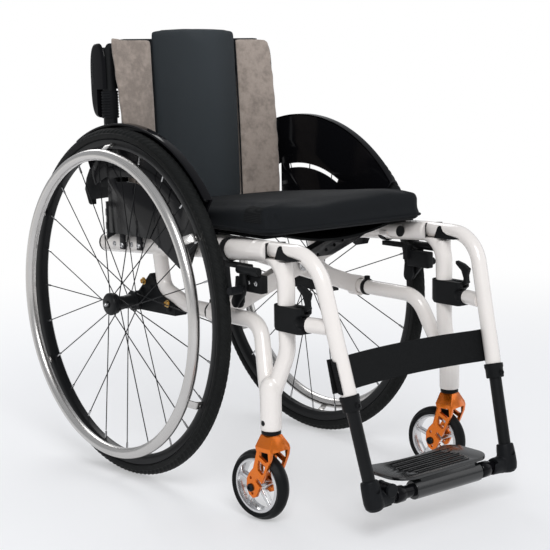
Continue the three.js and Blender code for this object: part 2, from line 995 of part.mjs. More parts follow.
// Machined fork: faceted crown, seal and stem, and two legs cut out between their bars
function casterFork() {
  const bar = forkBar;
  const outline = [
    [-forkCrownDepth / 2, forkLegTopZ],
    [-forkCrownDepth / 2 - bar / 2, forkShoulderZ],
    [forkFrontY, (forkShoulderZ + forkWaistZ) / 2],
    [forkFrontY + bar, forkWaistZ],
    [casterTrail - forkToeRadius + bar / 2, forkToeZ - bar],
    ...arc(
      casterTrail + bar / 2,
      forkToeZ,
      forkToeRadius,
      Math.PI * 1.25,
      Math.PI * 2,
      3,
    ),
    [forkPlateY, forkPlateZ - bar],
    [forkPlateY - bar, forkPlateZ],
    [forkRearY, forkWaistZ],
    [forkCrownDepth / 2, forkShoulderZ],
    [forkCrownDepth / 2 - bar, forkLegTopZ],
  ];
  const upperWindow = [
    [-forkCrownDepth / 2 + bar / 2, forkShoulderZ - 2 * bar],
    [forkFrontY + 2 * bar, forkWaistZ + 2.4 * bar],
    [forkRearY - 2.6 * bar, forkWaistZ + 2.9 * bar],
    [forkCrownDepth / 2 - 2.2 * bar, forkShoulderZ - 1.8 * bar],
  ];
  const lowerWindow = [
    [forkFrontY + 3.4 * bar, forkWaistZ + 0.4 * bar],
    [casterTrail - 3.6 * bar, forkPlateZ - 2.2 * bar],
    [casterTrail - 1.2 * bar, forkPlateZ - 0.4 * bar],
    [forkRearY - 1.4 * bar, forkWaistZ + 1.4 * bar],
  ];
  const centreZ = casterRadius;
  const holes = [
    circle(casterTrail, centreZ, cornerRadius(casterAxleRadius + fit, 6), 6),
    circle(casterTrail + bar / 3, centreZ + forkHolePitch, forkHoleRadius, 4),
    circle(casterTrail + bar / 3, centreZ - forkHolePitch, forkHoleRadius, 4),
    circle(casterTrail - 2.6 * forkHolePitch / 2, centreZ + bar, forkHoleRadius, 4),
  ];
  const legs = [-1, 1].map((side) =>
    plate(outline, "x", side * (forkInside + forkWall / 2), forkWall, [
      upperWindow,
      lowerWindow,
      ...holes,
    ]),
  );
  const half = forkInside + forkWall;
  const crown = plate(
    [
      [-half, forkCrownZ],
      [half, forkCrownZ],
      [half, forkLegTopZ - forkRidge],
      [forkCrownWidth / 2, forkTopZ],
      [-forkCrownWidth / 2, forkTopZ],
      [-half, forkLegTopZ - forkRidge],
    ],
    "y",
    0,
    forkCrownDepth,
  );
  // the ridge that runs down the front and back of the crown
  const ridge = plate(
    [
      [-forkCrownDepth / 2 - forkRidge, forkCrownZ + forkRidge],
      [-forkCrownDepth / 2, forkCrownZ],
      [forkCrownDepth / 2, forkCrownZ],
      [forkCrownDepth / 2 + forkRidge, forkCrownZ + forkRidge],
      [forkCrownDepth / 2, forkTopZ],
      [-forkCrownDepth / 2, forkTopZ],
    ],
    "x",
    0,
    forkCrownWidth / 2,
  );
  const seal = rod([0, 0, forkTopZ], [0, 0, housingBottomZ - sealGap], sealRadius, 10);
  const stem = rod([0, 0, forkCrownZ], [0, 0, housingBottomZ + stemLength], stemRadius, 8);
  return join(...legs, crown, ridge, seal, stem);
}

function casterAxle() {
  const reach = forkInside + forkWall + fit;
  return turned(
    [
      [-reach - casterHeadHeight, 0],
      [-reach - casterHeadHeight, casterHeadRadius / 1.5],
      [-reach, casterHeadRadius],
      [-reach, casterAxleRadius],
      [reach, casterAxleRadius],
      [reach, casterHeadRadius],
      [reach + casterHeadHeight, casterHeadRadius / 1.5],
      [reach + casterHeadHeight, 0],
    ],
    8,
  );
}

// Cross brace arm from the right low tube to the left seat rail, in its own plane
function crossArm(y) {
  const slope = [Math.cos(armAngle), Math.sin(armAngle)];
  const across = [-slope[1], slope[0]];
  const at = (along, aside) => [
    -frameX + along * slope[0] + aside * across[0],
    lowTubeZ + along * slope[1] + aside * across[1],
  ];
  const reach = Math.hypot(armSpan, armRise);
  const mid = frameX / Math.cos(armAngle);
  const half = armHeight / 2;
  const bar = plate(
    [
      at(armRingRadius / 2, -half),
      at(mid - armMidRadius, -half),
      at(mid, -armMidRadius),
      at(mid + armMidRadius, -half),
      at(reach - 2 * armTopRadius, -half),
      at(reach, -armTopRadius),
      at(reach, armTopRadius / 2),
      at(reach - armHeight, half / 2),
      at(reach - 2 * armHeight, half),
      at(mid + armMidRadius, half),
      at(mid, armMidRadius),
      at(mid - armMidRadius, half),
      at(armRingRadius / 2, half),
    ],
    "y",
    y,
    armThickness,
  );
  const lowRing = rod(
    [-frameX, y - armThickness / 2, lowTubeZ],
    [-frameX, y + armThickness / 2, lowTubeZ],
    armRingRadius,
    10,
  );
  const topRing = rod(
    [railX, y - armThickness / 2, railZ],
    [railX, y + armThickness / 2, railZ],
    armTopRadius,
    10,
  );
  const bores = [
    bore(
      [-frameX, y - armThickness, lowTubeZ],
      [-frameX, y + armThickness, lowTubeZ],
      lowTubeRadius + running,
      10,
    ),
    bore([railX, y - armThickness, railZ], [railX, y + armThickness, railZ], railRadius + fit, 10),
  ];
  const holes = [];
  for (let i = 0; i < armHoleCount; i++) {
    const [x, z] = at(mid + armMidRadius + armHolePitch * (i + 1), 0);
    holes.push(rod([x, y - armThickness, z], [x, y + armThickness, z], armHoleRadius, 5));
  }
  const boltBore = bore(
    [0, y - armThickness, boltZ],
    [0, y + armThickness, boltZ],
    boltRadius + running,
    8,
  );
  return cut(join(bar, lowRing, topRing), ...bores, ...holes, boltBore);
}

// The bolt of the cross brace, its heads and the spacer between the arms
function crossBolt() {
  const frontFace = armFrontY - armThickness / 2 - running;
  const rearFace = armRearY + armThickness / 2 + running;
  const shank = rod(
    [0, frontFace - boltHeadHeight, boltZ],
    [0, rearFace + boltHeadHeight, boltZ],
    boltRadius,
    8,
  );
  const heads = [
    [frontFace - boltHeadHeight, frontFace],
    [rearFace, rearFace + boltHeadHeight],
    [armFrontY + armThickness / 2 + running, armRearY - armThickness / 2 - running],
  ].map(([from, to]) => rod([0, from, boltZ], [0, to, boltZ], boltHeadRadius, 8));
  const recess = rod(
    [0, frontFace - boltHeadHeight - overrun, boltZ],
    [0, frontFace - boltHeadHeight + boltRecess, boltZ],
    boltRecessRadius,
    6,
  );
  return cut(join(shank, ...heads), recess);
}

// Seat rail: a tube, plugged at its front end
function seatRail() {
  const body = rod([0, railFrontY, 0], [0, railRearY, 0], railRadius, 10);
  const plugBore = bore(
    [0, railFrontY - overrun, 0],
    [0, railFrontY + railPlugDepth, 0],
    railPlugBore,
    6,
  );
  const rearBore = bore(
    [0, railRearY - railBoreDepth, 0],
    [0, railRearY + overrun, 0],
    railRadius - railWall,
    10,
  );
  return cut(body, plugBore, rearBore);
}

// Hanger: the footrest tube, its pivot pin and the stub that the latch holds
function hanger() {
  const tube = pipe(
    new PipeRun(
      [
        [frameX, hangerPivotY + hangerEndRadius, hangerTopZ],
        [hangerKneeX, hangerKneeY, hangerTopZ, hangerBend],
        legAt(hangerEndZ),
      ],
      4,
    ),
    hangerRadius,
    10,
  );
  const wedge = plate(
    [
      [hangerPivotY + hangerEndRadius, frontTubeTopZ + fit],
      [wedgeFrontY, frontTubeTopZ + fit],
      [wedgeFrontY, wedgeTopZ],
      [hangerPivotY + hangerEndRadius, hangerTopZ],
    ],
    "x",
    frameX,
    wedgeWidth,
  );
  const pin = rod(
    [frameX, hangerPivotY, frontTubeTopZ - pivotPinLength],
    [frameX, hangerPivotY, hangerTopZ],
    pivotPinRadius,
    8,
  );
  const [stubX, stubY] = legAt(stubZ);
  const stub = rod(
    [stubX, stubY, stubZ],
    [frameX, hangerPivotY - stubEndRadius - stubRadius, stubZ],
    stubRadius,
    10,
  );
  const stubEnd = rod(
    [frameX - stubRadius, hangerPivotY - stubEndRadius - stubRadius, stubZ],
    [frameX + stubRadius, hangerPivotY - stubEndRadius - stubRadius, stubZ],
    stubRadius,
    10,
  );
  const postBore = bore(
    legAt(hangerEndZ - overrun),
    legAt(postTopZ + postTravel + overrun),
    postRadius + running,
    8,
  );
  // the rear end is rounded about the pivot line
  const rearTrim = cut(
    block(
      [frameX - 2 * hangerEndRadius, hangerPivotY, frontTubeTopZ - overrun],
      [
        frameX + 2 * hangerEndRadius,
        hangerPivotY + 2 * hangerEndRadius,
        hangerTopZ + 2 * hangerEndRadius,
      ],
    ),
    rod(
      [frameX, hangerPivotY, frontTubeTopZ - 2 * overrun],
      [frameX, hangerPivotY, hangerTopZ + 3 * hangerEndRadius],
      hangerEndRadius,
      16,
    ),
  );
  return cut(join(tube, wedge, pin, stub, stubEnd), postBore, rearTrim);
}

// Collar that clamps the post in the end of the hanger
function hangerCollar() {
  const above = legAt(hangerEndZ + collarLip);
  const below = legAt(hangerEndZ + collarLip - collarLength);
  const shell = rod(above, below, collarRadius, 8);
  const tubeRoom = bore(
    legAt(hangerEndZ - fit),
    legAt(hangerEndZ + collarLength),
    hangerRadius + fit,
    8,
  );
  const postRoom = bore(
    legAt(hangerEndZ + collarLength),
    legAt(hangerEndZ - 2 * collarLength),
    postRadius + running,
    8,
  );
  const boltAt = legAt(hangerEndZ + collarLip - collarLength / 2);
  const bolt = rod(
    [boltAt[0], boltAt[1] - postRadius - 2 * running, boltAt[2]],
    [boltAt[0], boltAt[1] - collarRadius - overrun, boltAt[2]],
    bracketBoltRadius,
    6,
  );
  return cut(join(shell, bolt), tubeRoom, postRoom);
}

const hangerPost = () => rod(legAt(postTopZ), legAt(elbowZ), postRadius, 10);

// Elbow at the foot of a post, without what it holds
function elbowBody(toX) {
  const socket = rod(legAt(elbowSocketTopZ), legAt(elbowZ), elbowRadius, 8);
  const turn = new THREE.SphereGeometry(elbowRadius + fit, 8, 4).translate(
    elbowX,
    elbowY,
    (elbowZ + barZ) / 2,
  );
  const boot = rod([elbowX, elbowY, barZ], [toX, elbowY, barZ], elbowRadius, 8);
  const postRoom = bore(
    legAt(elbowZ - fit),
    legAt(elbowSocketTopZ + overrun),
    postRadius + fit,
    8,
  );
  return { body: join(socket, turn, boot), postRoom };
}

// The elbow that the foot bar hinges in: two cheeks and a pin, front to back
function hingeElbow() {
  const { body, postRoom } = elbowBody(barHingeX + knuckleRadius + overrun);
  const half = knuckleWidth / 2 + running;
  const cheeks = [-1, 1].map((side) =>
    plate(
      linkOutline([barHingeX, barHingeZ, knuckleRadius], [elbowX - elbowRadius, barZ, knuckleRadius]),
      "y",
      elbowY + side * (half + cheekThickness / 2),
      cheekThickness,
    ),
  );
  const slot = block(
    [barHingeX - 2 * knuckleRadius, elbowY - half, barZ - 2 * knuckleRadius],
    [barHingeX + knuckleRadius + running, elbowY + half, barHingeZ + 2 * knuckleRadius],
  );
  const pin = rod(
    [barHingeX, elbowY - half - cheekThickness / 2, barHingeZ],
    [barHingeX, elbowY + half + cheekThickness / 2, barHingeZ],
    knucklePinRadius,
    8,
  );
  return join(cut(join(body, ...cheeks), slot, postRoom), pin);
}

// The elbow that the foot bar rests in: a low shelf with an open top
function restElbow() {
  const { body, postRoom } = elbowBody(elbowX - elbowRadius);
  const top = barZ - barRadius - fit;
  const shelf = block(
    [shelfReach, elbowY - shelfWidth / 2, top - shelfThickness],
    [elbowX, elbowY + shelfWidth / 2, top],
  );
  return cut(join(body, shelf), postRoom);
}

// Foot bar, from its hinge on the right elbow to its rest on the left one
function footBar() {
  const tongue = plate(
    linkOutline(
      [-barHingeX, barHingeZ, knuckleRadius],
      [-barCollarStart, barZ, barRadius - fit],
    ),
    "y",
    elbowY,
    knuckleWidth,
  );
  const bar = rod([-barCollarStart, elbowY, barZ], [barTipX, elbowY, barZ], barRadius, 10);
  const collars = [-1, 1].map((side) =>
    rod(
      [side * barCollarStart, elbowY, barZ],
      [side * barCollarEnd, elbowY, barZ],
      barCollarRadius,
      10,
    ),
  );
  const pinBore = bore(
    [-barHingeX, elbowY - knuckleWidth, barHingeZ],
    [-barHingeX, elbowY + knuckleWidth, barHingeZ],
    knucklePinRadius + running,
  );
  return cut(join(tongue, bar, ...collars), pinBore);
}

// Footplate: an oval slotted plate with long ribs, on a sleeve that turns on the foot bar
function footplate() {
  const half = plateLength / 2;
  const middle = (sleeveRightX + sleeveLeftX) / 2;
  const rearY = plateFrontY + plateDepth;
  const outline = [
    ...arc(
      middle - half + plateCorner,
      plateFrontY + plateCorner,
      plateCorner,
      Math.PI,
      Math.PI * 1.5,
      5,
    ),
    ...arc(
      middle + half - plateCorner,
      plateFrontY + plateCorner,
      plateCorner,
      Math.PI * 1.5,
      Math.PI * 2,
      5,
    ),
    [middle + half - plateCorner / 3, rearY - plateCorner / 3],
    [middle + half - plateCorner, rearY],
    [middle, rearY - plateBow],
    [middle - half + plateCorner, rearY],
    [middle - half + plateCorner / 3, rearY - plateCorner / 3],
  ];
  const slots = [];
  const ribs = [];
  const top = plateTopZ - plateThickness / 2;
  for (let i = 0; i < plateSlotCount; i++) {
    const y = plateFrontY + plateSlotPitch * (i + 1.2);
    const inset = Math.abs(i - (plateSlotCount - 1) / 2) * plateSlotWidth;
    const reach = plateSlotLength / 2 - inset;
    slots.push([
      ...arc(middle + reach, y, plateSlotWidth / 2, -Math.PI / 2, Math.PI / 2, 4),
      ...arc(middle - reach, y, plateSlotWidth / 2, Math.PI / 2, Math.PI * 1.5, 4),
    ]);
    const ribY = y - plateSlotPitch / 2;
    ribs.push(
      block(
        [middle - reach, ribY - plateRibWidth / 2, top],
        [middle + reach, ribY + plateRibWidth / 2, plateTopZ + plateRibHeight],
      ),
    );
  }
  const deck = plate(outline, "z", top, plateThickness, slots);
  const sleeve = rod([sleeveRightX, elbowY, barZ], [sleeveLeftX, elbowY, barZ], sleeveRadius, 10);
  const web = block(
    [sleeveRightX + sleeveRadius, elbowY - sleeveWebWidth / 4, barZ],
    [sleeveLeftX - sleeveRadius, elbowY + sleeveWebWidth, plateTopZ - plateThickness / 2],
  );
  const barRoom = bore(
    [sleeveRightX - overrun, elbowY, barZ],
    [sleeveLeftX + overrun, elbowY, barZ],
    barRadius + running,
    10,
  );
  return cut(join(deck, sleeve, web, ...ribs), barRoom);
}

// Latch body clamped on the front tube, with the socket that takes the hanger's stub
function latchHousing() {
  const low = stubZ - latchHeight / 2;
  const high = stubZ + latchHeight / 2;
  const span = high - low;
  const tubeY =
    frontTubeTopY +
    ((frontTubeKneeY - frontTubeTopY) * (frontTubeTopZ - stubZ)) / (frontTubeTopZ - frontTubeKneeZ);
  const barrel = frontTubeRadius + latchWall;
  const front = hangerPivotY - latchFrontRadius;
  const body = plate(
    [
      ...arc(frameX, tubeY, barrel, 0, Math.PI, 8),
      [frameX - latchHalfWidth, front + latchWall],
      [frameX - latchHalfWidth + latchWall, front],
      [frameX + latchHalfWidth - latchWall, front],
      [frameX + latchHalfWidth, front + latchWall],
    ],
    "z",
    (low + high) / 2,
    span,
  );
  // the underside slopes up towards the back, as a moulded body does
  const slope = plate(
    [
      [tubeY + 2 * barrel, low - overrun],
      [tubeY + 2 * barrel, low + latchHeight / 3],
      [tubeY, low - overrun],
    ],
    "x",
    frameX,
    4 * barrel,
  );
  const tubeRoom = bore(
    [frameX, frontTubeTopY, frontTubeTopZ],
    [frameX, frontTubeKneeY, frontTubeKneeZ],
    frontTubeRadius + fit,
    10,
  );
  // the socket is a groove turned about the hanger's pivot line
  const centre = stubEndRadius + stubRadius;
  const section = [];
  for (let i = 0; i <= 8; i++) {
    const angle = Math.PI / 2 + (Math.PI * i) / 8;
    section.push(
      new THREE.Vector2(
        centre + (stubRadius + 2 * fit) * Math.cos(angle),
        (stubRadius + 2 * fit) * Math.sin(angle),
      ),
    );
  }
  section.push(new THREE.Vector2(2 * centre, -stubRadius - 2 * fit));
  section.push(new THREE.Vector2(2 * centre, stubRadius + 2 * fit));
  section.push(section[0].clone());
  const groove = new THREE.LatheGeometry(section, 28)
    .rotateX(Math.PI / 2)
    .translate(frameX, hangerPivotY, stubZ);
  const leverRoom = block(
    [
      frameX - latchSlotWidth / 2 - running,
      latchPivotY - 2 * leverRoot,
      latchPivotZ - leverRoot - running,
    ],
    [frameX + latchSlotWidth / 2 + running, latchPivotY + leverRoot + running, high + overrun],
  );
  // the lever tips forward through a notch in the front wall
  const leverNotch = block(
    [frameX - latchSlotWidth / 2 - running, front - overrun, latchPivotZ - running],
    [frameX + latchSlotWidth / 2 + running, latchPivotY, high + overrun],
  );
  const pin = rod(
    [frameX - latchHalfWidth + fit, latchPivotY, latchPivotZ],
    [frameX + latchHalfWidth - fit, latchPivotY, latchPivotZ],
    latchPinRadius,
    8,
  );
  return join(cut(body, slope, tubeRoom, groove, leverRoom, leverNotch), pin);
}

// Fin that frees the hanger, curved like a shark's fin
function latchLever() {
  const fin = plate(
    [
      [latchPivotY + leverRoot * 0.9, latchPivotZ],
      [latchPivotY + leverRoot * 0.8, latchPivotZ + leverRoot],
      [latchPivotY + leverRoot * 1.2, (latchPivotZ + leverTipZ) / 2],
      [leverTipY, leverTipZ - leverRoot / 2],
      [leverTipY - leverRoot / 3, leverTipZ],
      [(leverTipY + leverBellyY) / 2, leverTipZ - leverRoot / 3],
      [leverBellyY, leverBellyZ],
      [leverBellyY + leverRoot, (latchPivotZ + leverBellyZ) / 2],
      [latchPivotY - leverRoot * 0.9, latchPivotZ],
      ...arc(latchPivotY, latchPivotZ, leverRoot * 0.9, Math.PI * 1.1, Math.PI * 1.9, 6),
    ],
    "x",
    frameX,
    leverWidth,
    [circle(latchPivotY, latchPivotZ, cornerRadius(latchPinRadius + running, 8), 8)],
  );
  return fin;
}

// Brake body, banded round the top tube
function brakeClamp() {
  const z = topTubeZ(brakeY);
  const tubeAt = (reach, radius) =>
    bore(
      [frameX, brakeY + reach, topTubeZ(brakeY + reach)],
      [frameX, brakeY - reach, topTubeZ(brakeY - reach)],
      radius,
      10,
    );
  const band = tubeAt(brakeBandLength / 2, brakeBandRadius - fit);
  const step = brakeBlockStep;
  const body = plate(
    [
      [brakeY + step, z - topTubeRadius / 2],
      [brakeY + step, brakeBlockLowZ + 2 * step],
      [brakeY + 2 * step, brakeBlockLowZ + 2 * step],
      [brakeY + 2 * step, brakeBlockLowZ + step],
      [brakeY + step / 2, brakeBlockLowZ],
      [brakeY - step / 2, brakeBlockLowZ],
      ...arc(brakePivotY, brakePivotZ, brakeBossRadius, Math.PI * 1.8, Math.PI * 0.9, 7),
      [brakeY - 2 * step, brakeBlockLowZ + 3 * step],
      [brakeY - step, z - topTubeRadius / 2],
    ].reverse(),
    "x",
    (brakeBlockInnerX + brakeBlockOuterX) / 2,
    brakeBlockOuterX - brakeBlockInnerX,
  );
  const tubeRoom = tubeAt(4 * brakeBandLength, topTubeRadius + fit);
  const pinBore = bore(
    [brakeBlockInnerX + step, brakePivotY, brakePivotZ],
    [brakeBlockOuterX + overrun, brakePivotY, brakePivotZ],
    brakePinRadius + running,
    8,
  );
  return cut(join(band, body), tubeRoom, pinBore);
}

// Brake lever: pin, arm, the shoe that presses on the tyre and the grip
function brakeLever() {
  const middle = brakeArmX + brakeArmThickness / 2;
  const outerX = brakeArmX + brakeArmThickness;
  const shoeArm = plate(
    linkOutline([brakePivotY, brakePivotZ, brakeBossRadius], [shoeY, shoeZ, shoeRadius]),
    "x",
    middle,
    brakeArmThickness,
  );
  const gripArm = plate(
    linkOutline([shoeY, shoeZ, shoeRadius + fit], [brakeGripY, brakeGripZ, brakeGripRadius - 1]),
    "x",
    middle,
    brakeArmThickness,
  );
  const shoe = rod([middle, shoeY, shoeZ], [shoeOuterX, shoeY, shoeZ], shoeRadius, 8);
  const grip = rod(
    [middle, brakeGripY, brakeGripZ],
    [brakeGripOuterX, brakeGripY, brakeGripZ],
    brakeGripRadius,
    8,
  );
  const pin = rod(
    [brakeBlockInnerX + brakeBlockStep + fit, brakePivotY, brakePivotZ],
    [outerX, brakePivotY, brakePivotZ],
    brakePinRadius,
    8,
  );
  return join(shoeArm, gripArm, shoe, grip, pin);
}

// Side guard: a thin panel whose round edge turns out over the tyre
function sideGuard() {
  const rear = guardRearAngle;
  const front = guardFrontAngle;
  const tip = [
    guardRadius * Math.cos(front) + guardTipDepth / 3,
    axleZ + guardRadius * Math.sin(front) - guardTipDepth / 2,
  ];
  const innerRear = Math.acos(guardRearY / guardBandInner);
  const panel = plate(
    [
      ...arc(0, axleZ, guardRadius, rear, front, guardFacets),
      tip,
      [tip[0] + guardTipDepth, guardTipZ],
      [guardKneeY, guardKneeZ],
      [guardHeelY, guardLowZ],
      [guardRearY, guardLowZ],
      [guardRearY, guardRearZ],
      ...arc(0, axleZ, guardBandInner, innerRear, rear, 3),
    ],
    "x",
    guardX,
    guardThickness,
    [
      ringBand(
        0,
        axleZ,
        guardSlotInner,
        guardSlotOuter,
        Math.acos(guardRearY / guardSlotOuter) + 0.1,
        Math.acos((guardKneeY + guardTipDepth) / guardSlotOuter),
        6,
      ),
    ],
  );
  const outerFace = guardX + guardThickness / 2;
  const lip = plate(
    ringBand(
      0,
      axleZ,
      guardRadius - guardLipThickness,
      guardRadius,
      rear,
      front,
      guardFacets,
    ),
    "x",
    outerFace + guardLip / 2 - guardThickness / 2,
    guardLip + guardThickness,
  );
  const recess = plate(
    ringBand(
      0,
      axleZ,
      guardRecessInner,
      guardRecessOuter,
      rear + (front - rear) / 6,
      front - (front - rear) / 8,
      7,
    ),
    "x",
    outerFace,
    2 * guardRecess,
  );
  const tabs = guardTabYs.flatMap((y) => {
    const z = topTubeZ(y);
    return [
      block(
        [guardX - guardThickness / 2, y - guardTabWidth / 2, z - guardTabWidth / 2],
        [guardX + guardThickness / 2, y + guardTabWidth / 2, guardLowZ + overrun],
      ),
      rod(
        [frameX + topTubeRadius / 2, y, z],
        [guardX + guardThickness + fit, y, z],
        guardStudRadius,
        8,
      ),
    ];
  });
  const tubeRoom = bore(
    [frameX, topTubeRearY, topTubeRearZ],
    [frameX, topTubeFrontY, topTubeFrontZ],
    topTubeRadius + fit,
    10,
  );
  return cut(join(panel, lip, ...tabs), recess, tubeRoom);
}

// Foot of a back post: ribbed sleeves on the top tube, hinge cheeks and the stay behind them
function caneFoot() {
  const ribbed = (radius, from, to, sides) => {
    const profile = [[0, from]];
    const count = Math.floor((to - from) / ribPitch);
    for (let i = 0; i < count; i++) {
      const z = from + i * ribPitch;
      profile.push([radius, z]);
      profile.push([radius, z + ribPitch / 2]);
      profile.push([radius - ribDepth, z + ribPitch / 2]);
      profile.push([radius - ribDepth, z + ribPitch]);
    }
    profile.push([radius, from + count * ribPitch]);
    profile.push([radius, to]);
    profile.push([0, to]);
    return new THREE.LatheGeometry(
      profile.map(([r, z]) => new THREE.Vector2(r, z)),
      sides,
    )
      .rotateX(Math.PI / 2)
      .translate(caneX, caneY, 0);
  };
  const sleeve = ribbed(footSleeveRadius, topTubeZ(caneY), footSleeveTopZ, 8);
  const neck = ribbed(footNeckRadius, footSleeveTopZ - overrun, footHeadBottomZ + overrun, 8);
  const head = plate(
    [
      [caneY + footHeadDepth / 2, footHeadBottomZ],
      [caneY + footHeadDepth / 2, canePivotZ],
      ...arc(caneY, canePivotZ, footHeadDepth / 2, 0, Math.PI, 8).slice(1, -1),
      [caneY - footHeadDepth / 2, canePivotZ],
      [caneY - footHeadDepth / 2, footHeadBottomZ],
    ],
    "x",
    caneX,
    footHeadWidth,
  );
  const stay = plate(
    [
      [caneY, strutLowZ + footNeckRadius],
      [strutRearY - strutTail, strutLowZ],
      ...arc(strutRearY - strutTail, strutLowZ, strutTail / 2, Math.PI * 1.5, Math.PI * 1.75, 2),
      [strutRearY, strutLowZ + strutTail],
      [strutRearY - strutTail / 3, strutHighZ - strutTail],
      [strutRearY - strutTail, strutHighZ],
      [caneY, strutHighZ],
    ],
    "x",
    caneX,
    strutThickness,
    [
      [
        [windowFrontY, windowLowZ - overrun],
        [windowRearY, windowLowZ],
        [windowRearY, windowHighZ],
        [windowFrontY, windowHighZ],
      ],
    ],
  );
  const gap = footHeadWidth / 2 - footCheek;
  const tongueRoom = block(
    [caneX - gap, caneY - footHeadDepth, footHeadBottomZ + footCheek],
    [caneX + gap, caneY + footHeadDepth / 2 + overrun, canePivotZ + footHeadDepth],
  );
  const pin = rod(
    [caneX - footHeadWidth / 2 - fit, caneY, canePivotZ],
    [caneX + footHeadWidth / 2 + fit, caneY, canePivotZ],
    canePinRadius,
    8,
  );
  // the sleeve's seat has the same facets as the tube, so it lies close all round
  const tubeRoom = rod(
    [caneX, topTubeRearY + overrun, topTubeZ(topTubeRearY + overrun)],
    [caneX, caneY - 2 * footSleeveRadius, topTubeZ(caneY - 2 * footSleeveRadius)],
    topTubeRadius + cornerRadius(fit, 10),
    10,
  );
  return join(cut(join(sleeve, neck, head, stay), tongueRoom, tubeRoom), pin);
}

// Back post, about its pivot at the origin
function backCane() {
  const rise = caneTopZ - canePivotZ;
  const shaft = rod([0, 0, 0], [0, 0, rise], caneRadius, 10);
  const gap = footHeadWidth / 2 - footCheek - running;
  const end = rod([-gap, 0, 0], [gap, 0, 0], caneRadius, 10);
  const flats = [-1, 1].map((side) =>
    block(
      [side * gap, -2 * caneRadius, -2 * caneRadius],
      [side * 2 * caneRadius, 2 * caneRadius, footHeadDepth / 2 + overrun],
    ),
  );
  const grip = rod(
    [0, 0, caneGripBottomZ - canePivotZ],
    [0, 0, caneGripTopZ - canePivotZ],
    caneGripRadius,
    10,
  );
  const buttons = caneButtonZs.map((z) =>
    rod(
      [0, 0, z - canePivotZ],
      [caneRadius + caneButtonProud, 0, z - canePivotZ],
      caneButtonRadius,
      6,
    ),
  );
  const pivotY = handlePivotY - caneY;
  const pivotZ = handlePivotZ - canePivotZ;
  const lug = plate(
    linkOutline([pivotY, pivotZ, handleHubRadius - overrun], [0, pivotZ, caneRadius - overrun]),
    "x",
    0,
    handleLug,
  );
  const pinBore = bore(
    [-2 * handleLug, pivotY, pivotZ],
    [2 * handleLug, pivotY, pivotZ],
    handlePinRadius + running,
    8,
  );
  const pivotBore = bore([-2 * caneRadius, 0, 0], [2 * caneRadius, 0, 0], canePinRadius + running);
  // the upholstery lies flat against the front of the grip
  const gripFlat = block(
    [-2 * caneRadius, -2 * caneRadius, caneGripBottomZ - canePivotZ - overrun],
    [2 * caneRadius, -caneRadius, caneGripTopZ - canePivotZ + overrun],
  );
  return cut(join(shaft, end, grip, ...buttons, lug), ...flats, pinBore, pivotBore, gripFlat);
}

// Fold-down push handle, hanging behind the post from its hinge at the origin
function pushHandle() {
  const front = caneY + caneRadius + overrun / 2 - handlePivotY;
  const rear = front + handleDepth;
  const low = -handleDrop;
  const toe = handleToeRadius;
  const body = plate(
    [
      ...arc(0, 0, handleHubRadius, Math.PI / 3, Math.PI, 6),
      [front, -handleHubRadius],
      [front, caneGripTopZ - handlePivotZ + overrun],
      [front + caneGripRadius - caneRadius + overrun, caneGripTopZ - handlePivotZ - overrun],
      [front + caneGripRadius - caneRadius + overrun, low + toe / 2],
      ...arc(rear - toe, low + toe, toe, Math.PI * 1.5, Math.PI * 2, 4),
      [rear, -2 * handleHubRadius],
      [rear - handleHubRadius / 3, -handleHubRadius / 2],
    ],
    "x",
    0,
    handleWidth,
  );
  const lugRoom = block(
    [-handleLug / 2 - running, -2 * handleHubRadius, -2 * handleHubRadius],
    [handleLug / 2 + running, handleHubRadius, 2 * handleHubRadius],
  );
  const pin = rod([-handleWidth / 2 - fit, 0, 0], [handleWidth / 2 + fit, 0, 0], handlePinRadius, 10);
  return join(cut(body, lugRoom), pin);
}

// A soft form: a box of cells whose points a formula moves, u, v and w running from -1 to 1
function softForm([nx, ny, nz], place) {
  const geometry = new THREE.BoxGeometry(2, 2, 2, nx, ny, nz);
  const position = geometry.attributes.position;
  const point = new THREE.Vector3();
  for (let i = 0; i < position.count; i++) {
    point.fromBufferAttribute(position, i);
    const [x, y, z] = place(point.x, point.y, point.z);
    position.setXYZ(i, x, y, z);
  }
  return geometryOf(solidOf(geometry));
}

const between = (low, high, share) => low + ((high - low) * (share + 1)) / 2;

// Seat cushion: crowned top that falls to the rear, rounded front and sides drawn in between the corners
function seatCushion() {
  const roundShares = { side: 0.1, end: 0.07, corner: 0.04 };
  return softForm([10, 8, 4], (u, v, w) => {
    const edge = 1 - w ** 4;
    const side = 1 - roundShares.side * (1 - edge) - (cushionDrawIn / cushionHalfWidth) * (1 - v * v);
    const end = 1 - roundShares.end * (1 - edge);
    const corner = 1 - roundShares.corner * u * u * v * v;
    const crown = cushionCrown * (1 - u * u) * (1 - v * v);
    const x = cushionHalfWidth * u * side * corner;
    const y = between(cushionFrontY, cushionRearY, v * end * corner);
    const rise = w > 0 ? crown * w : 0;
    const fall = (cushionFall * (v + 1)) / 2;
    return [x, y, between(slingTopZ + fit, cushionTopZ - cushionCrown - fall, w) + rise];
  });
}

// Seat sling, hanging between the rails
function seatSling() {
  const free = (railX - 2 * armTopRadius) / slingHalfWidth;
  return softForm([14, 2, 1], (u, v, w) => [
    slingHalfWidth * u,
    between(slingFrontY, slingRearY, v),
    slingTopZ - slingSag * Math.max(0, 1 - (u / free) ** 2) - (slingThickness * (1 - w)) / 2,
  ]);
}

// Backrest pieces, about the back pivot line at the origin
function backShell() {
  const bowShare = 0.5;
  const half = caneX - footHeadWidth / 2 - 2 * fit;
  const front = shellFrontY - caneY;
  return softForm([6, 1, 4], (u, v, w) => [
    half * u,
    between(front, front + shellThickness * (v > 0 ? 1 + bowShare * (1 - u * u) : 1), v),
    between(backBottomZ, backTopZ, w) - canePivotZ,
  ]);
}

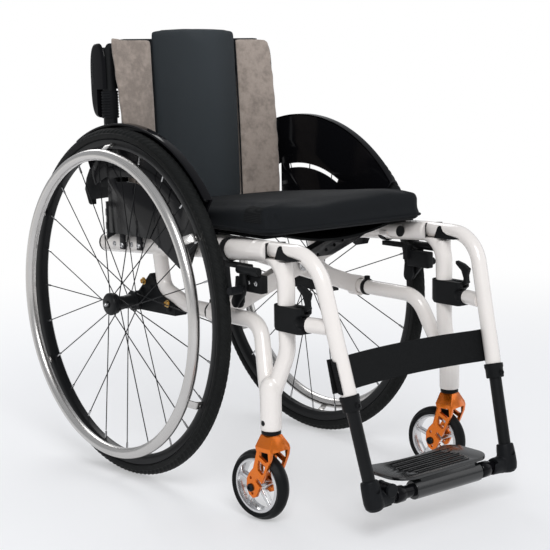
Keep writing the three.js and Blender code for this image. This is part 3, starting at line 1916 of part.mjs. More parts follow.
function backPad() {
  const softShares = { side: 0.25, end: 0.075 };
  const front = padFrontY - caneY;
  const rear = shellFrontY - caneY - fit;
  return softForm([6, 1, 10], (u, v, w) => {
    const ease = softShares.side * u ** 4 + softShares.end * w ** 6;
    const proud = v < 0 ? (rear - front) * ease : 0;
    const crown = w === 1 ? padCrown * (1 - u * u) : 0;
    return [
      padHalfWidth * u,
      between(front + (padSetback * (w + 1)) / 2, rear, v) + proud,
      between(backBottomZ - overrun, padTopZ, w) + crown - canePivotZ,
    ];
  });
}

function bolster() {
  const edgeShare = 0.3;
  const front = bolsterFrontY - caneY;
  const rear = shellFrontY - caneY - fit;
  return softForm([5, 1, 8], (u, v, w) => {
    const outer = Math.max(0, u) ** 2;
    const wing = -bolsterWing * outer + (v < 0 ? (padSetback * (w + 1)) / 4 : 0);
    const soft = v < 0 ? (rear - front) * edgeShare * u ** 6 : 0;
    return [
      between(bolsterInnerX, bolsterOuterX - bolsterTaper * Math.max(0, w), u),
      between(front, rear, v) + wing + soft,
      between(backBottomZ, backTopZ, w) - canePivotZ,
    ];
  });
}

// Calf strap, slung behind the hangers and turned round their outer sides
function calfStrap() {
  const [legX, legY] = legAt(strapZ);
  const reach = legX + hangerRadius + strapThickness;
  const legLean = Math.hypot(1, (hangerKneeY - elbowY) / (hangerTopZ - elbowZ));
  return softForm([16, 1, 1], (u, v, w) => {
    const x = reach * u;
    const inside = Math.min(1, Math.abs(x) / (legX - hangerRadius));
    const behind =
      legY + hangerRadius * legLean + strapThickness / 2 + 2 * fit + strapSag * (1 - inside ** 2);
    const lean = (legAt(strapZ + strapHeight / 2)[1] - legY) * w;
    return [x, behind + (strapThickness / 2) * v + lean, strapZ + (strapHeight / 2) * w];
  });
}

const chair = new THREE.Group();

// Both sides: each shape is made once for the left and mirrored for the right
for (const [suffix, side] of [
  ["r", -1],
  ["l", 1],
]) {
  const sided = (geometry) => (side > 0 ? geometry : mirrored(geometry));
  const add = (parent, name, geometry, finish, at) => {
    const mesh = piece(`${name}_${suffix}`, sided(geometry), finish, at);
    parent.add(mesh);
    return mesh;
  };

  add(chair, "side_frame", sideFrame(), "frame");
  add(chair, "axle_bracket", axleBracket(), "black");
  add(chair, "axle_button", axleButton(), "steel", [side * axleEndX, 0, axleZ]);
  add(chair, "side_guard", sideGuard(), "black");
  add(chair, "cane_foot", caneFoot(), "black");
  add(chair, "brake_clamp", brakeClamp(), "black");
  add(chair, "brake_lever", brakeLever(), "black");
  add(chair, "latch_housing", latchHousing(), "black");
  add(chair, "latch_lever", latchLever(), "black");
  add(chair, "hanger", hanger(), "frame");
  add(chair, "hanger_collar", hangerCollar(), "black");
  add(chair, "hanger_post", hangerPost(), "black");
  add(chair, "foot_elbow", side > 0 ? restElbow() : hingeElbow(), "black");
  add(chair, "seat_rail", seatRail(), "frame", [side * railX, 0, railZ]);

  const wheel = new THREE.Group();
  wheel.position.set(side * wheelX, 0, axleZ);
  chair.add(wheel);
  add(wheel, "rear_tyre", rearTyre(), "rubber");
  add(wheel, "rear_rim", rearRim(), "black");
  add(wheel, "handrim", handrim(), "silver");
  add(wheel, "rear_hub", rearHub(), "black");

  const caster = new THREE.Group();
  caster.position.set(side * housingX, housingY, 0);
  caster.rotation.z = side > 0 ? casterTurnLeft : casterTurnRight;
  chair.add(caster);
  add(caster, "caster_fork", casterFork(), "orange");
  const centre = [0, casterTrail, casterRadius];
  add(caster, "caster_axle", casterAxle(), "black", centre);
  add(caster, "caster_rim", casterRim(), "polished", centre);
  add(caster, "caster_tyre", casterTyre(), "rubber", centre);
}

// Cross brace: the rear arm is the front one turned about
chair.add(piece("cross_arm_a", crossArm(armFrontY), "frame"));
chair.add(piece("cross_arm_b", mirrored(crossArm(armRearY)), "frame"));
chair.add(piece("cross_bolt", crossBolt(), "steel"));

chair.add(piece("seat_sling", seatSling(), "fabric"));
chair.add(piece("seat_cushion", seatCushion(), "fabric"));
chair.add(piece("foot_bar", footBar(), "black"));
chair.add(piece("footplate", footplate(), "black"));
chair.add(piece("calf_strap", calfStrap(), "fabric"));

// The backrest leans a little back about its pivot line
const back = new THREE.Group();
back.position.set(0, caneY, canePivotZ);
back.rotation.x = -caneLean;
chair.add(back);
for (const [suffix, side] of [
  ["r", -1],
  ["l", 1],
]) {
  const sided = (geometry) => (side > 0 ? geometry : mirrored(geometry));
  back.add(piece(`back_cane_${suffix}`, sided(backCane()), "black", [side * caneX, 0, 0]));
  const hinge = [side * caneX, handlePivotY - caneY, handlePivotZ - canePivotZ];
  back.add(piece(`push_handle_${suffix}`, sided(pushHandle()), "black", hinge));
  back.add(piece(`bolster_${suffix}`, sided(bolster()), "suede"));
}
back.add(piece("back_shell", backShell(), "fabric"));
back.add(piece("back_pad", backPad(), "mesh"));

// The chair stands on z = 0, centred on its own outline
const outline = new THREE.Box3().setFromObject(chair);
const middle = outline.getCenter(new THREE.Vector3());
chair.position.set(-middle.x, -middle.y, -outline.min.z);

export default chair;
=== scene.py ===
"""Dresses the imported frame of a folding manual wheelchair: finishes, upholstery and fine forms.

Places are given in millimetres from the rear axle line and the floor, the chair facing -Y.
The left side is modelled and the right one is its mirror image, unless a piece says otherwise.
"""

import json
import math

import bpy
from mathutils import Matrix, Vector


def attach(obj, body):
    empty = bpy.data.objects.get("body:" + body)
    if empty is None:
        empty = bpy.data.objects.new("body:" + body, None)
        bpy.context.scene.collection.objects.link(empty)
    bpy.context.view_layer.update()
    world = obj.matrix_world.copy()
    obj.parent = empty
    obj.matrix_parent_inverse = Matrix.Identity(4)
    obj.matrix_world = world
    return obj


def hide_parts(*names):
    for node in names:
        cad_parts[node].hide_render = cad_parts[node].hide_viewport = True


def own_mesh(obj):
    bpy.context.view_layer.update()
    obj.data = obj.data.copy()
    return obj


bl_info = {
    "name": "Folding wheelchair",
    "version": (1, 0, 0),
    "blender": (4, 5, 0),
    "location": "View3D > Sidebar > Wheelchair",
    "description": "Dresses the packed frame of a folding manual wheelchair",
    "category": "Add Mesh",
}

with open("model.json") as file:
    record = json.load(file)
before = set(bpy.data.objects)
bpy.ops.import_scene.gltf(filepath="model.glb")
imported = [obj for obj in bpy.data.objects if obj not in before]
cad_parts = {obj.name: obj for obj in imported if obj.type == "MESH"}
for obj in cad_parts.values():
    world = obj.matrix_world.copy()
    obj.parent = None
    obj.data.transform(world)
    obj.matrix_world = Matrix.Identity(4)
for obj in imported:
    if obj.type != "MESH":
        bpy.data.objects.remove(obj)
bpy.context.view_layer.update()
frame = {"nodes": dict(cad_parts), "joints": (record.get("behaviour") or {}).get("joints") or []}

MM = 0.001
JOINTS = {joint["name"]: joint for joint in frame["joints"]}
WHEEL_CENTRE = JOINTS["wheel_turn_left"]["pos_m"]
AXLE_Y = WHEEL_CENTRE[1]
WHEEL_X = WHEEL_CENTRE[0] / MM
WHEEL_Z = WHEEL_CENTRE[2] / MM
SIDES = (("r", "right", -1), ("l", "left", 1))
TREAD_GROOVES = 150
BACK_LEAN = math.radians(1)
BACK_PIVOT = (84, 528)
UP = Vector((0, 0, 1))


def spot(x, y, z):
    """A place in the frame, from millimetres ahead of or behind the axle line."""
    return Vector((x * MM, AXLE_Y + y * MM, z * MM))


# Sizes and colours that a user would change


def colour(name, description, value):
    return bpy.props.FloatVectorProperty(
        name=name, description=description, default=value, size=3, subtype="COLOR", min=0, max=1
    )


def length(name, description, value):
    return bpy.props.FloatProperty(
        name=name, description=description, default=value * MM, unit="LENGTH", subtype="DISTANCE"
    )


class FrameLooks(bpy.types.PropertyGroup):
    """Paint and metal of the frame."""

    paint: colour("Paint", "Colour of the painted tubes", (0.83, 0.79, 0.76))
    anodised: colour("Fork", "Colour of the anodised forks", (0.83, 0.19, 0.012))
    weld_voxel: length("Weld detail", "Grain at which the welded tubes are blended", 1.8)
    tube_sides: bpy.props.IntProperty(
        name="Tube sides", description="Faces round a tube", default=28, min=8
    )


class WheelLooks(bpy.types.PropertyGroup):
    """Rear wheels and casters."""

    spokes: bpy.props.IntProperty(
        name="Spokes", description="Spokes in a rear wheel", default=24, min=8
    )
    tyre: colour("Tyre", "Colour of the tyres", (0.0055, 0.006, 0.006))
    handrim: colour("Handrim", "Colour of the handrims", (0.62, 0.605, 0.59))
    turn_steps: bpy.props.IntProperty(
        name="Turn steps", description="Faces round a wheel", default=144, min=24
    )


class CoverLooks(bpy.types.PropertyGroup):
    """Upholstery."""

    seat: colour("Seat cover", "Colour of the cushion", (0.0045, 0.0055, 0.0068))
    mesh: colour("Back mesh", "Colour of the centre pad", (0.05, 0.061, 0.07))
    suede: colour("Suede", "Colour of the side bolsters", (0.29, 0.245, 0.215))
    webbing: colour("Webbing", "Colour of the calf strap", (0.0075, 0.008, 0.0085))
    voxel: length("Cloth detail", "Grain of the simulated covers", 5)
    piping: length("Piping", "Radius of the piping on the seams", 1.7)


def looks(group):
    return getattr(bpy.context.scene, group)


# Shader maths


class Wire:
    """A shader socket that takes part in arithmetic."""

    def __init__(self, material, socket):
        self.material = material
        self.socket = socket

    def math(self, operation, *others):
        return self.material.node("ShaderNodeMath", {"operation": operation}, (self, *others))

    def __add__(self, other):
        return self.math("ADD", other)

    def __mul__(self, other):
        return self.math("MULTIPLY", other)

    def __sub__(self, other):
        return self.math("SUBTRACT", other)

    def __rsub__(self, other):
        return self.material.node("ShaderNodeMath", {"operation": "SUBTRACT"}, (other, self))

    __radd__ = __add__
    __rmul__ = __mul__


class Finish:
    """One procedural material on a Principled surface, with Object coordinates."""

    def __init__(self, name, base, roughness, metallic=0.0, **sockets):
        self.made = bpy.data.materials.new(f"{name}_look")
        self.made.use_nodes = True
        self.tree = self.made.node_tree
        self.surface = self.tree.nodes["Principled BSDF"]
        self.made.diffuse_color = (*base, 1)
        self.surface.inputs["Base Color"].default_value = (*base, 1)
        self.surface.inputs["Roughness"].default_value = roughness
        self.surface.inputs["Metallic"].default_value = metallic
        for socket, value in sockets.items():
            self.surface.inputs[socket.replace("_", " ")].default_value = value
        self.place = self.node("ShaderNodeTexCoord", out="Object")

    def node(self, kind, settings=None, inputs=(), out=0):
        """Adds a node: its settings first, then values or links for its sockets."""
        made = self.tree.nodes.new(kind)
        for key, value in (settings or {}).items():
            setattr(made, key, value)
        pairs = inputs.items() if isinstance(inputs, dict) else enumerate(inputs)
        for key, value in pairs:
            if isinstance(value, Wire):
                self.tree.links.new(value.socket, made.inputs[key])
            else:
                made.inputs[key].default_value = value
        return Wire(self, made.outputs[out])

    def noise(self, scale, detail=3.0, place=None):
        inputs = {"Vector": place or self.place, "Scale": scale, "Detail": detail}
        return self.node("ShaderNodeTexNoise", {}, inputs, "Fac")

    def cells(self, scale):
        inputs = {"Vector": self.place, "Scale": scale}
        return self.node("ShaderNodeTexVoronoi", {}, inputs, "Distance")

    def stretched(self, scale):
        return self.node("ShaderNodeMapping", {}, {"Vector": self.place, "Scale": scale})

    def axes(self):
        """The x, y and z wires of the place on the piece."""
        made = self.tree.nodes.new("ShaderNodeSeparateXYZ")
        self.tree.links.new(self.place.socket, made.inputs[0])
        return [Wire(self, socket) for socket in made.outputs]

    def round_axle(self):
        """Wires of x, of the run and the rise from the rear axle, and of the distance to it."""
        x, y, z = self.axes()
        run, rise = y - AXLE_Y, z - WHEEL_Z * MM
        return x, run, rise, (rise * rise + run * run).math("SQRT")

    def wave(self, along, pitch):
        """A smooth ridge that repeats every pitch metres along a wire."""
        return (along * (2 * math.pi / pitch)).math("SINE") * 0.5 + 0.5

    def step(self, value, low, high):
        """0 below low and 1 above high."""
        inputs = {"Value": value, "From Min": low, "From Max": high}
        return self.node("ShaderNodeMapRange", {"interpolation_type": "SMOOTHSTEP"}, inputs)

    def tint(self, factor, first, second):
        first, second = ((*c, 1) if not isinstance(c, Wire) else c for c in (first, second))
        inputs = {0: factor, 6: first, 7: second}
        return self.node("ShaderNodeMix", {"data_type": "RGBA"}, inputs, 2)

    def feed(self, socket, wire):
        self.tree.links.new(wire.socket, self.surface.inputs[socket])

    def bump(self, height, depth):
        """Raises the surface by depth metres where height is 1."""
        inputs = {"Strength": 1.0, "Distance": depth, "Height": height}
        self.feed("Normal", self.node("ShaderNodeBump", {}, inputs, "Normal"))


def white_paint():
    """Warm white gloss paint with a faint orange peel."""
    base = looks("frame_looks").paint
    coat = Finish("white_paint", base, 0.28, Coat_Weight=0.6, Coat_Roughness=0.06)
    peel = coat.noise(420, 2)
    shade = [c * 0.93 for c in base]
    coat.feed("Base Color", coat.tint(coat.noise(7, 4), shade, base))
    coat.feed("Roughness", peel * 0.08 + 0.22)
    coat.bump(peel, 0.00006)
    return coat.made


def black_paint():
    """Satin black coat on steel and alloy."""
    coat = Finish("black_paint", (0.005, 0.0055, 0.006), 0.34, Specular_IOR_Level=0.16)
    dark, light = (0.004, 0.0045, 0.005), (0.009, 0.0095, 0.0105)
    coat.feed("Base Color", coat.tint(coat.noise(12, 4), dark, light))
    coat.feed("Roughness", coat.noise(40, 4) * 0.16 + 0.26)
    coat.bump(coat.noise(600, 2), 0.00005)
    return coat.made


def cast_black():
    """Moulded black nylon and cast brackets, finely grained."""
    grain = Finish("cast_black", (0.009, 0.0093, 0.01), 0.5, Specular_IOR_Level=0.11)
    dark, light = (0.004, 0.0045, 0.005), (0.01, 0.0105, 0.0115)
    grain.feed("Base Color", grain.tint(grain.noise(25, 4), dark, light))
    grain.feed("Roughness", grain.noise(60, 3) * 0.2 + 0.38)
    grain.bump(grain.cells(1900), 0.00009)
    return grain.made


def gloss_black():
    """High gloss moulded black with faint handling haze."""
    shell = Finish("gloss_black", (0.004, 0.004, 0.005), 0.14, Specular_IOR_Level=0.12)
    shell.feed("Roughness", shell.noise(30, 5) * 0.1 + 0.07)
    shell.bump(shell.noise(260, 2), 0.00003)
    return shell.made


def plate_black():
    """Moulded black of the footplate, worn shiny on its ribs."""
    shell = Finish("plate_black", (0.005, 0.0055, 0.006), 0.2, Specular_IOR_Level=0.7)
    shell.feed("Roughness", shell.noise(70, 5) * 0.16 + 0.12)
    shell.bump(shell.noise(500, 2), 0.00004)
    return shell.made


def rubber(name, base, rough):
    """Smooth moulded rubber, greyed by dust."""
    skin = Finish(name, base, rough, Specular_IOR_Level=0.08)
    dust = skin.noise(45, 5)
    skin.feed("Base Color", skin.tint(dust, base, [c * 1.7 + 0.002 for c in base]))
    skin.feed("Roughness", skin.noise(90, 4) * 0.2 + rough - 0.1)
    skin.bump(skin.noise(1400, 2), 0.00008)
    return skin.made


def tyre_rubber():
    """Tyre: a fine file tread on the crown, smooth sidewalls, set by the distance from the axle."""
    base = looks("wheel_looks").tyre
    skin = Finish("tyre_rubber", base, 0.6, Specular_IOR_Level=0.1)
    x, run, rise, radius = skin.round_axle()
    angle = rise.math("ARCTAN2", run)
    across = (x.math("ABSOLUTE") - WHEEL_X * MM).math("ABSOLUTE")
    slant = angle * TREAD_GROOVES + across * 700
    ribs = skin.step(slant.math("SINE"), -0.2, 0.5)
    tread = skin.step(radius, 0.2905, 0.294)
    height = tread * ribs + skin.noise(900, 3) * 0.12
    worn = skin.tint(skin.noise(60, 5) * tread, base, [c * 1.8 + 0.002 for c in base])
    skin.feed("Base Color", worn)
    skin.feed("Roughness", skin.noise(120, 4) * 0.2 + tread * 0.18 + 0.38)
    skin.bump(height, 0.0006)
    return skin.made


def satin_silver():
    """Satin anodised tube, brushed round the ring."""
    base = looks("wheel_looks").handrim
    tube = Finish("satin_silver", base, 0.3, 1.0)
    x, _, _, radius = tube.round_axle()
    place = tube.node("ShaderNodeCombineXYZ", {}, (x * 900, radius * 900, 0.0))
    lines = tube.noise(3.0, place=place)
    tube.feed("Roughness", lines * 0.14 + 0.2)
    tube.feed("Base Color", tube.tint(tube.noise(18, 4), [c * 0.86 for c in base], base))
    tube.bump(lines, 0.00003)
    return tube.made


def polished_alloy():
    """Polished caster rims with light turning marks."""
    face = Finish("polished_alloy", (0.82, 0.82, 0.83), 0.12, 1.0)
    face.feed("Roughness", face.noise(160, 4) * 0.1 + 0.16)
    face.feed("Base Color", face.tint(face.noise(60, 3), (0.58, 0.58, 0.59), (0.74, 0.74, 0.75)))
    face.bump(face.noise(900, 2), 0.00002)
    return face.made


def orange_anodised():
    """Orange anodised fork with fine milling lines."""
    base = looks("frame_looks").anodised
    face = Finish("orange_anodised", base, 0.26, 0.8, Coat_Weight=0.3)
    _, y, z = face.axes()
    lines = face.wave(z + y * 0.35, 0.0006) * face.noise(300, 2)
    face.feed("Base Color", face.tint(face.noise(50, 4), [c * 0.9 for c in base], base))
    face.feed("Roughness", lines * 0.08 + 0.2)
    face.bump(lines, 0.00001)
    return face.made


def bright_steel():
    """Turned and plated steel."""
    face = Finish("bright_steel", (0.5, 0.5, 0.51), 0.25, 1.0)
    face.feed("Roughness", face.noise(220, 4) * 0.2 + 0.15)
    face.feed("Base Color", face.tint(face.noise(70, 3), (0.38, 0.38, 0.39), (0.6, 0.6, 0.6)))
    return face.made


def gold_steel():
    """Zinc passivated adjusting hardware."""
    face = Finish("gold_steel", (0.55, 0.36, 0.12), 0.28, 1.0)
    face.feed("Roughness", face.noise(200, 4) * 0.2 + 0.18)
    face.feed("Base Color", face.tint(face.noise(90, 4), (0.42, 0.25, 0.07), (0.66, 0.47, 0.2)))
    return face.made


def seat_cover():
    """A plain weave: threads over and under along the two diagonals of each face."""
    base = looks("cover_looks").seat
    pitch, depth, rough = 0.0015, 0.00025, 0.72
    sockets = {"Sheen_Weight": 0.03, "Sheen_Roughness": 0.4, "Specular_IOR_Level": 0.12}
    cloth = Finish("seat_cover", base, rough, **sockets)
    x, y, z = cloth.axes()
    first = cloth.wave(x + z * 0.7 + y * 0.4, pitch)
    second = cloth.wave(y - z * 0.7 - x * 0.4, pitch)
    threads = first * (1 - second) + second * (1 - first)
    slub = cloth.noise(320, 4)
    light = [min(1, c * 2.2 + 0.003) for c in base]
    cloth.feed("Base Color", cloth.tint(threads * slub, base, light))
    cloth.feed("Roughness", slub * 0.16 + rough - 0.08)
    cloth.bump(threads * 0.7 + slub * 0.5, depth)
    return cloth.made


def webbing():
    """Strap webbing: coarse diagonal ribs across its height."""
    base = looks("cover_looks").webbing
    band = Finish("webbing", base, 0.7, Specular_IOR_Level=0.06)
    x, _, z = band.axes()
    ribs = band.wave(x + z * 0.9, 0.0024) * band.wave(x - z * 0.9, 0.0024)
    light = [c * 3.2 + 0.004 for c in base]
    band.feed("Base Color", band.tint(ribs * band.noise(300, 3), base, light))
    band.feed("Roughness", band.noise(220, 4) * 0.2 + 0.58)
    band.bump(ribs, 0.0004)
    return band.made


def back_mesh():
    """Spacer mesh: rows of small round holes over a darker ground, streaked by wear, with painted
    shade at its side edges and painted light, darker towards -x and lighter towards +x.
    """
    base = looks("cover_looks").mesh
    sockets = {"Sheen_Weight": 0.12, "Sheen_Roughness": 0.45, "Specular_IOR_Level": 0.08}
    cloth = Finish("back_mesh", base, 0.85, **sockets)
    x, _, z = cloth.axes()
    pitch = 0.0026
    row = cloth.wave(z, pitch) * cloth.wave(x, pitch)
    shifted = cloth.wave(z + pitch / 2, pitch) * cloth.wave(x + pitch / 2, pitch)
    holes = cloth.step(row + shifted, 0.35, 0.8)
    # dark is the colour of the holes and also the painted shade laid on the pad's side edges below.
    dark = [c * 0.42 for c in base]
    light = [c * 1.7 for c in base]
    worn = cloth.tint(cloth.noise(22, 5, cloth.stretched((1, 1, 0.35))), base, light)
    # seam masks painted shade: the ground is painted darker towards the pad's side edges.
    seam = cloth.step((x + 0.006).math("ABSOLUTE"), 0.03, 0.1)
    # shadow and shine paint light across the pad: darker towards the chair's right (-x), lighter
    # towards its left (+x).
    shadow, shine = [c * 0.6 for c in base], [c * 1.6 for c in base]
    painted_light_gradient = cloth.tint(cloth.step(x, -0.085, 0.05), shadow, shine)
    ground = cloth.tint(seam * 0.6, cloth.tint(0.7, worn, painted_light_gradient), dark)
    cloth.feed("Base Color", cloth.tint(holes, dark, ground))
    cloth.feed("Roughness", cloth.noise(150, 3) * 0.14 + 0.76)
    cloth.bump(holes, 0.0008)
    return cloth.made


def suede():
    """Brushed suede: mottled nap, with painted light: lighter on the left bolster (+x) and darker
    on the right one (-x).
    """
    base = looks("cover_looks").suede
    sockets = {"Sheen_Weight": 0.25, "Sheen_Roughness": 0.55, "Specular_IOR_Level": 0.1}
    nap = Finish("suede", base, 0.95, **sockets)
    cloud = nap.noise(52, 9) * 0.65 + nap.noise(150, 6) * 0.35
    fine = nap.noise(420, 4)
    dark = [c * 0.6 for c in base]
    light = [min(1, c * 1.42) for c in base]
    x, _, _ = nap.axes()
    # Painted light: shifts the mottling lighter towards +x and darker towards -x.
    painted_side_light = nap.step(x, -0.12, 0.12) * 0.1 - 0.05
    mottled = nap.tint(nap.step(cloud + painted_side_light, 0.36, 0.64), dark, light)
    nap.feed("Base Color", nap.tint(fine, mottled, base))
    nap.feed("Roughness", fine * 0.1 + 0.86)
    nap.bump(cloud * 0.6 + fine * 0.5, 0.0007)
    return nap.made


def brace_paint():
    """Cross arms: black plastic upper halves over white painted lower ones, by height and side."""
    base = looks("frame_looks").paint
    coat = Finish("brace_paint", base, 0.3, Coat_Weight=0.4)
    _, _, z = coat.axes()
    middle = JOINTS["fold_brace"]["pos_m"][2]
    upper = coat.step(z, middle + 0.009, middle + 0.0095)
    coat.feed("Base Color", coat.tint(upper, base, (0.018, 0.018, 0.02)))
    coat.feed("Roughness", coat.noise(60, 3) * 0.16 + 0.22)
    coat.bump(coat.noise(500, 2), 0.00005)
    return coat.made


FINISHES = (
    white_paint,
    black_paint,
    cast_black,
    gloss_black,
    plate_black,
    tyre_rubber,
    satin_silver,
    polished_alloy,
    orange_anodised,
    bright_steel,
    gold_steel,
    seat_cover,
    webbing,
    back_mesh,
    suede,
    brace_paint,
)
MAKERS = {
    "soft_rubber": lambda: rubber("soft_rubber", (0.006, 0.0065, 0.0075), 0.42),
    "caster_rubber": lambda: rubber("caster_rubber", (0.0055, 0.006, 0.0065), 0.4),
    **{maker.__name__: maker for maker in FINISHES},
}


def material(name):
    """The finish of that name, made when it is first asked for."""
    return bpy.data.materials.get(f"{name}_look") or MAKERS[name]()


# Modelling helpers


def wake(obj):
    """Selects one object only and makes it the active one."""
    bpy.ops.object.select_all(action="DESELECT")
    obj.select_set(True)
    bpy.context.view_layer.objects.active = obj
    return obj


def named(name):
    """Names the object that an operator has just added."""
    obj = bpy.context.object
    obj.name = name
    obj.data.name = name
    return obj


def settle(obj):
    """Moves the object's place into its mesh."""
    wake(obj)
    bpy.ops.object.transform_apply(location=True, rotation=True, scale=True)
    return obj


def in_edit_mode(obj, *steps):
    """Runs edit mode operators, each given as a function, on the whole mesh."""
    wake(obj)
    bpy.ops.object.mode_set(mode="EDIT")
    bpy.ops.mesh.select_all(action="SELECT")
    for step in steps:
        step()
    bpy.ops.object.mode_set(mode="OBJECT")
    return obj


def tidy(obj):
    """Merges doubles, drops what has no area and turns the faces outwards."""
    gap = 0.00001
    return in_edit_mode(
        obj,
        lambda: bpy.ops.mesh.remove_doubles(threshold=gap),
        lambda: bpy.ops.mesh.dissolve_degenerate(threshold=gap / 10),
        lambda: bpy.ops.mesh.select_all(action="SELECT"),
        lambda: bpy.ops.mesh.normals_make_consistent(inside=False),
    )


def modify(obj, kind, **settings):
    """Adds a modifier and applies it at once."""
    wake(obj)
    modifier = obj.modifiers.new(kind.lower(), kind)
    for key, value in settings.items():
        setattr(modifier, key, value)
    bpy.ops.object.modifier_apply(modifier=modifier.name)
    return obj


def bevel(obj, width, segments=3, angle=35):
    return modify(
        obj,
        "BEVEL",
        width=width * MM,
        segments=segments,
        limit_method="ANGLE",
        angle_limit=math.radians(angle),
        harden_normals=False,
    )


def carve(obj, tool, operation="DIFFERENCE"):
    """Cuts, keeps or joins by another solid, which is used up."""
    modify(obj, "BOOLEAN", object=tool, operation=operation, solver="EXACT")
    bpy.data.objects.remove(tool)
    return obj


def joined(name, *objects):
    bpy.ops.object.select_all(action="DESELECT")
    for obj in objects:
        obj.select_set(True)
    bpy.context.view_layer.objects.active = objects[0]
    if len(objects) > 1:
        bpy.ops.object.join()
    return named(name)


def melt(obj, voxel, rounds):
    """Blends joined solids into one skin with soft fillets."""
    wake(obj)
    obj.data.remesh_voxel_size = voxel * MM
    obj.data.remesh_voxel_adaptivity = 0
    bpy.ops.object.voxel_remesh()
    return modify(obj, "SMOOTH", factor=0.5, iterations=rounds)


def smooth(obj, angle=35):
    wake(obj)
    bpy.ops.object.shade_smooth_by_angle(angle=math.radians(angle))
    return obj


def rounded(corners, steps=10):
    """Corner points (x, y, z, bend radius) as points that run round each bend."""
    places = [Vector(corner[:3]) for corner in corners]
    run = [places[0]]
    for before, here, after, corner in zip(places, places[1:], places[2:], corners[1:]):
        into = (here - before).normalized()
        out = (after - here).normalized()
        turn = into.angle(out)
        bend = corner[3]
        start = here - into * bend * math.tan(turn / 2)
        centre = here + (out - into).normalized() * bend / math.cos(turn / 2)
        axis = into.cross(out).normalized()
        for i in range(steps + 1):
            run.append(centre + Matrix.Rotation(turn * i / steps, 3, axis) @ (start - centre))
    run.append(places[-1])
    return run


def tube(name, run, radius, sides=None, closed=False):
    """A pipe along points in millimetres, with one radius or one for each point."""
    sides = sides or looks("frame_looks").tube_sides
    bpy.ops.curve.primitive_nurbs_path_add()
    path = named(name)
    path.matrix_world = Matrix.Identity(4)
    path.data.splines.clear()
    spline = path.data.splines.new("POLY")
    spline.points.add(len(run) - 1)
    spline.use_cyclic_u = closed
    radii = radius if isinstance(radius, (list, tuple)) else [radius] * len(run)
    for point, place, r in zip(spline.points, run, radii):
        point.co = (*spot(*place), 1)
        point.radius = r * MM
    path.data.dimensions = "3D"
    path.data.twist_mode = "MINIMUM"
    path.data.bevel_depth = 1
    path.data.bevel_resolution = max(0, sides // 4 - 1)
    path.data.use_fill_caps = not closed
    wake(path)
    bpy.ops.object.convert(target="MESH")
    return tidy(named(name))


def rod(name, start, end, radius, sides=None):
    return tube(name, [start, end], radius, sides)


def outlined(name, points):
    """A flat face through points given in the frame's metres."""
    bpy.ops.mesh.primitive_circle_add(vertices=len(points), radius=1, fill_type="NGON")
    face = named(name)
    for vertex, point in zip(face.data.vertices, points):
        vertex.co = point
    face.data.update()
    return face


def slab(name, outline, axis, low, high):
    """A plate from an outline in the plane across an axis, between two places along it."""
    order = {"x": (2, 0, 1), "y": (0, 2, 1), "z": (0, 1, 2)}[axis]
    flat = [spot(*[(a, b, low)[k] for k in order]) for a, b in outline]
    reach = Vector([(0, 0, high - low)[k] for k in order]) * MM
    plate = outlined(name, flat)
    extrude = {"value": reach}
    in_edit_mode(plate, lambda: bpy.ops.mesh.extrude_region_move(TRANSFORM_OT_translate=extrude))
    return tidy(plate)


def arc(a, b, radius, start, end, steps=12):
    """Points on an arc, angles in degrees, both ends included."""
    angles = [math.radians(start + (end - start) * i / steps) for i in range(steps + 1)]
    return [(a + radius * math.cos(t), b + radius * math.sin(t)) for t in angles]


def spun(name, section, centre, axis="x", steps=None):
    """A closed section of (along, out) points turned about an axis through the centre."""
    steps = steps or looks("wheel_looks").turn_steps
    middle = spot(*centre)
    along = Vector({"x": (1, 0, 0), "y": (0, 1, 0), "z": (0, 0, 1)}[axis])
    out = UP if axis != "z" else Vector((0, 1, 0))
    ring = outlined(name, [middle + (along * a + out * b) * MM for a, b in section])
    in_edit_mode(
        ring,
        lambda: bpy.ops.mesh.delete(type="ONLY_FACE"),
        lambda: bpy.ops.mesh.select_all(action="SELECT"),
        lambda: bpy.ops.mesh.spin(
            steps=steps, angle=math.radians(360), center=middle, axis=along, dupli=False
        ),
    )
    return tidy(ring)


def heads(name, section, places, steps):
    """Heads of screws or studs, of one section, joined into one piece."""
    return joined(name, *[spun(name, section, place, steps=steps) for place in places])


def oval(a, b, half_a, half_b, steps, power=2.0):
    """A closed superellipse of (along, out) points."""
    points = []
    for i in range(steps):
        t = 2 * math.pi * i / steps
        c, s = math.cos(t), math.sin(t)
        x = math.copysign(abs(c) ** (2 / power), c)
        y = math.copysign(abs(s) ** (2 / power), s)
        points.append((a + half_a * x, b + half_b * y))
    return points


def brick(name, low, high, edge=0.0, segments=3):
    """A block between two corners, its edges rounded."""
    a, b = spot(*low), spot(*high)
    bpy.ops.mesh.primitive_cube_add(size=1, location=(a + b) / 2)
    block = named(name)
    block.scale = [abs(v) for v in (b - a)]
    settle(block)
    return bevel(block, edge, segments) if edge else block


def turned_copies(name, obj, centre, axis, count):
    """Copies of a piece about an axis, joined into one."""
    middle = Matrix.Translation(spot(*centre))
    copies = [obj]
    for i in range(1, count):
        copy = obj.copy()
        copy.data = obj.data.copy()
        bpy.context.collection.objects.link(copy)
        turn = Matrix.Rotation(2 * math.pi * i / count, 4, axis)
        copy.data.transform(middle @ turn @ middle.inverted())
        copies.append(copy)
    return joined(name, *copies)


def mirror(obj, name):
    """The same piece on the other side of the chair."""
    copy = obj.copy()
    copy.data = obj.data.copy()
    bpy.context.collection.objects.link(copy)
    copy.name = name
    copy.data.name = name
    copy.data.transform(Matrix.Scale(-1, 4, (1, 0, 0)))
    copy.data.flip_normals()
    return copy


def moved(obj, matrix):
    obj.data.transform(matrix)
    return obj


def lean_back(obj):
    """Turns a piece modelled upright about the back's pivot line by the back's lean."""
    pivot = Matrix.Translation(spot(0, *BACK_PIVOT))
    return moved(obj, pivot @ Matrix.Rotation(-BACK_LEAN, 4, "X") @ pivot.inverted())


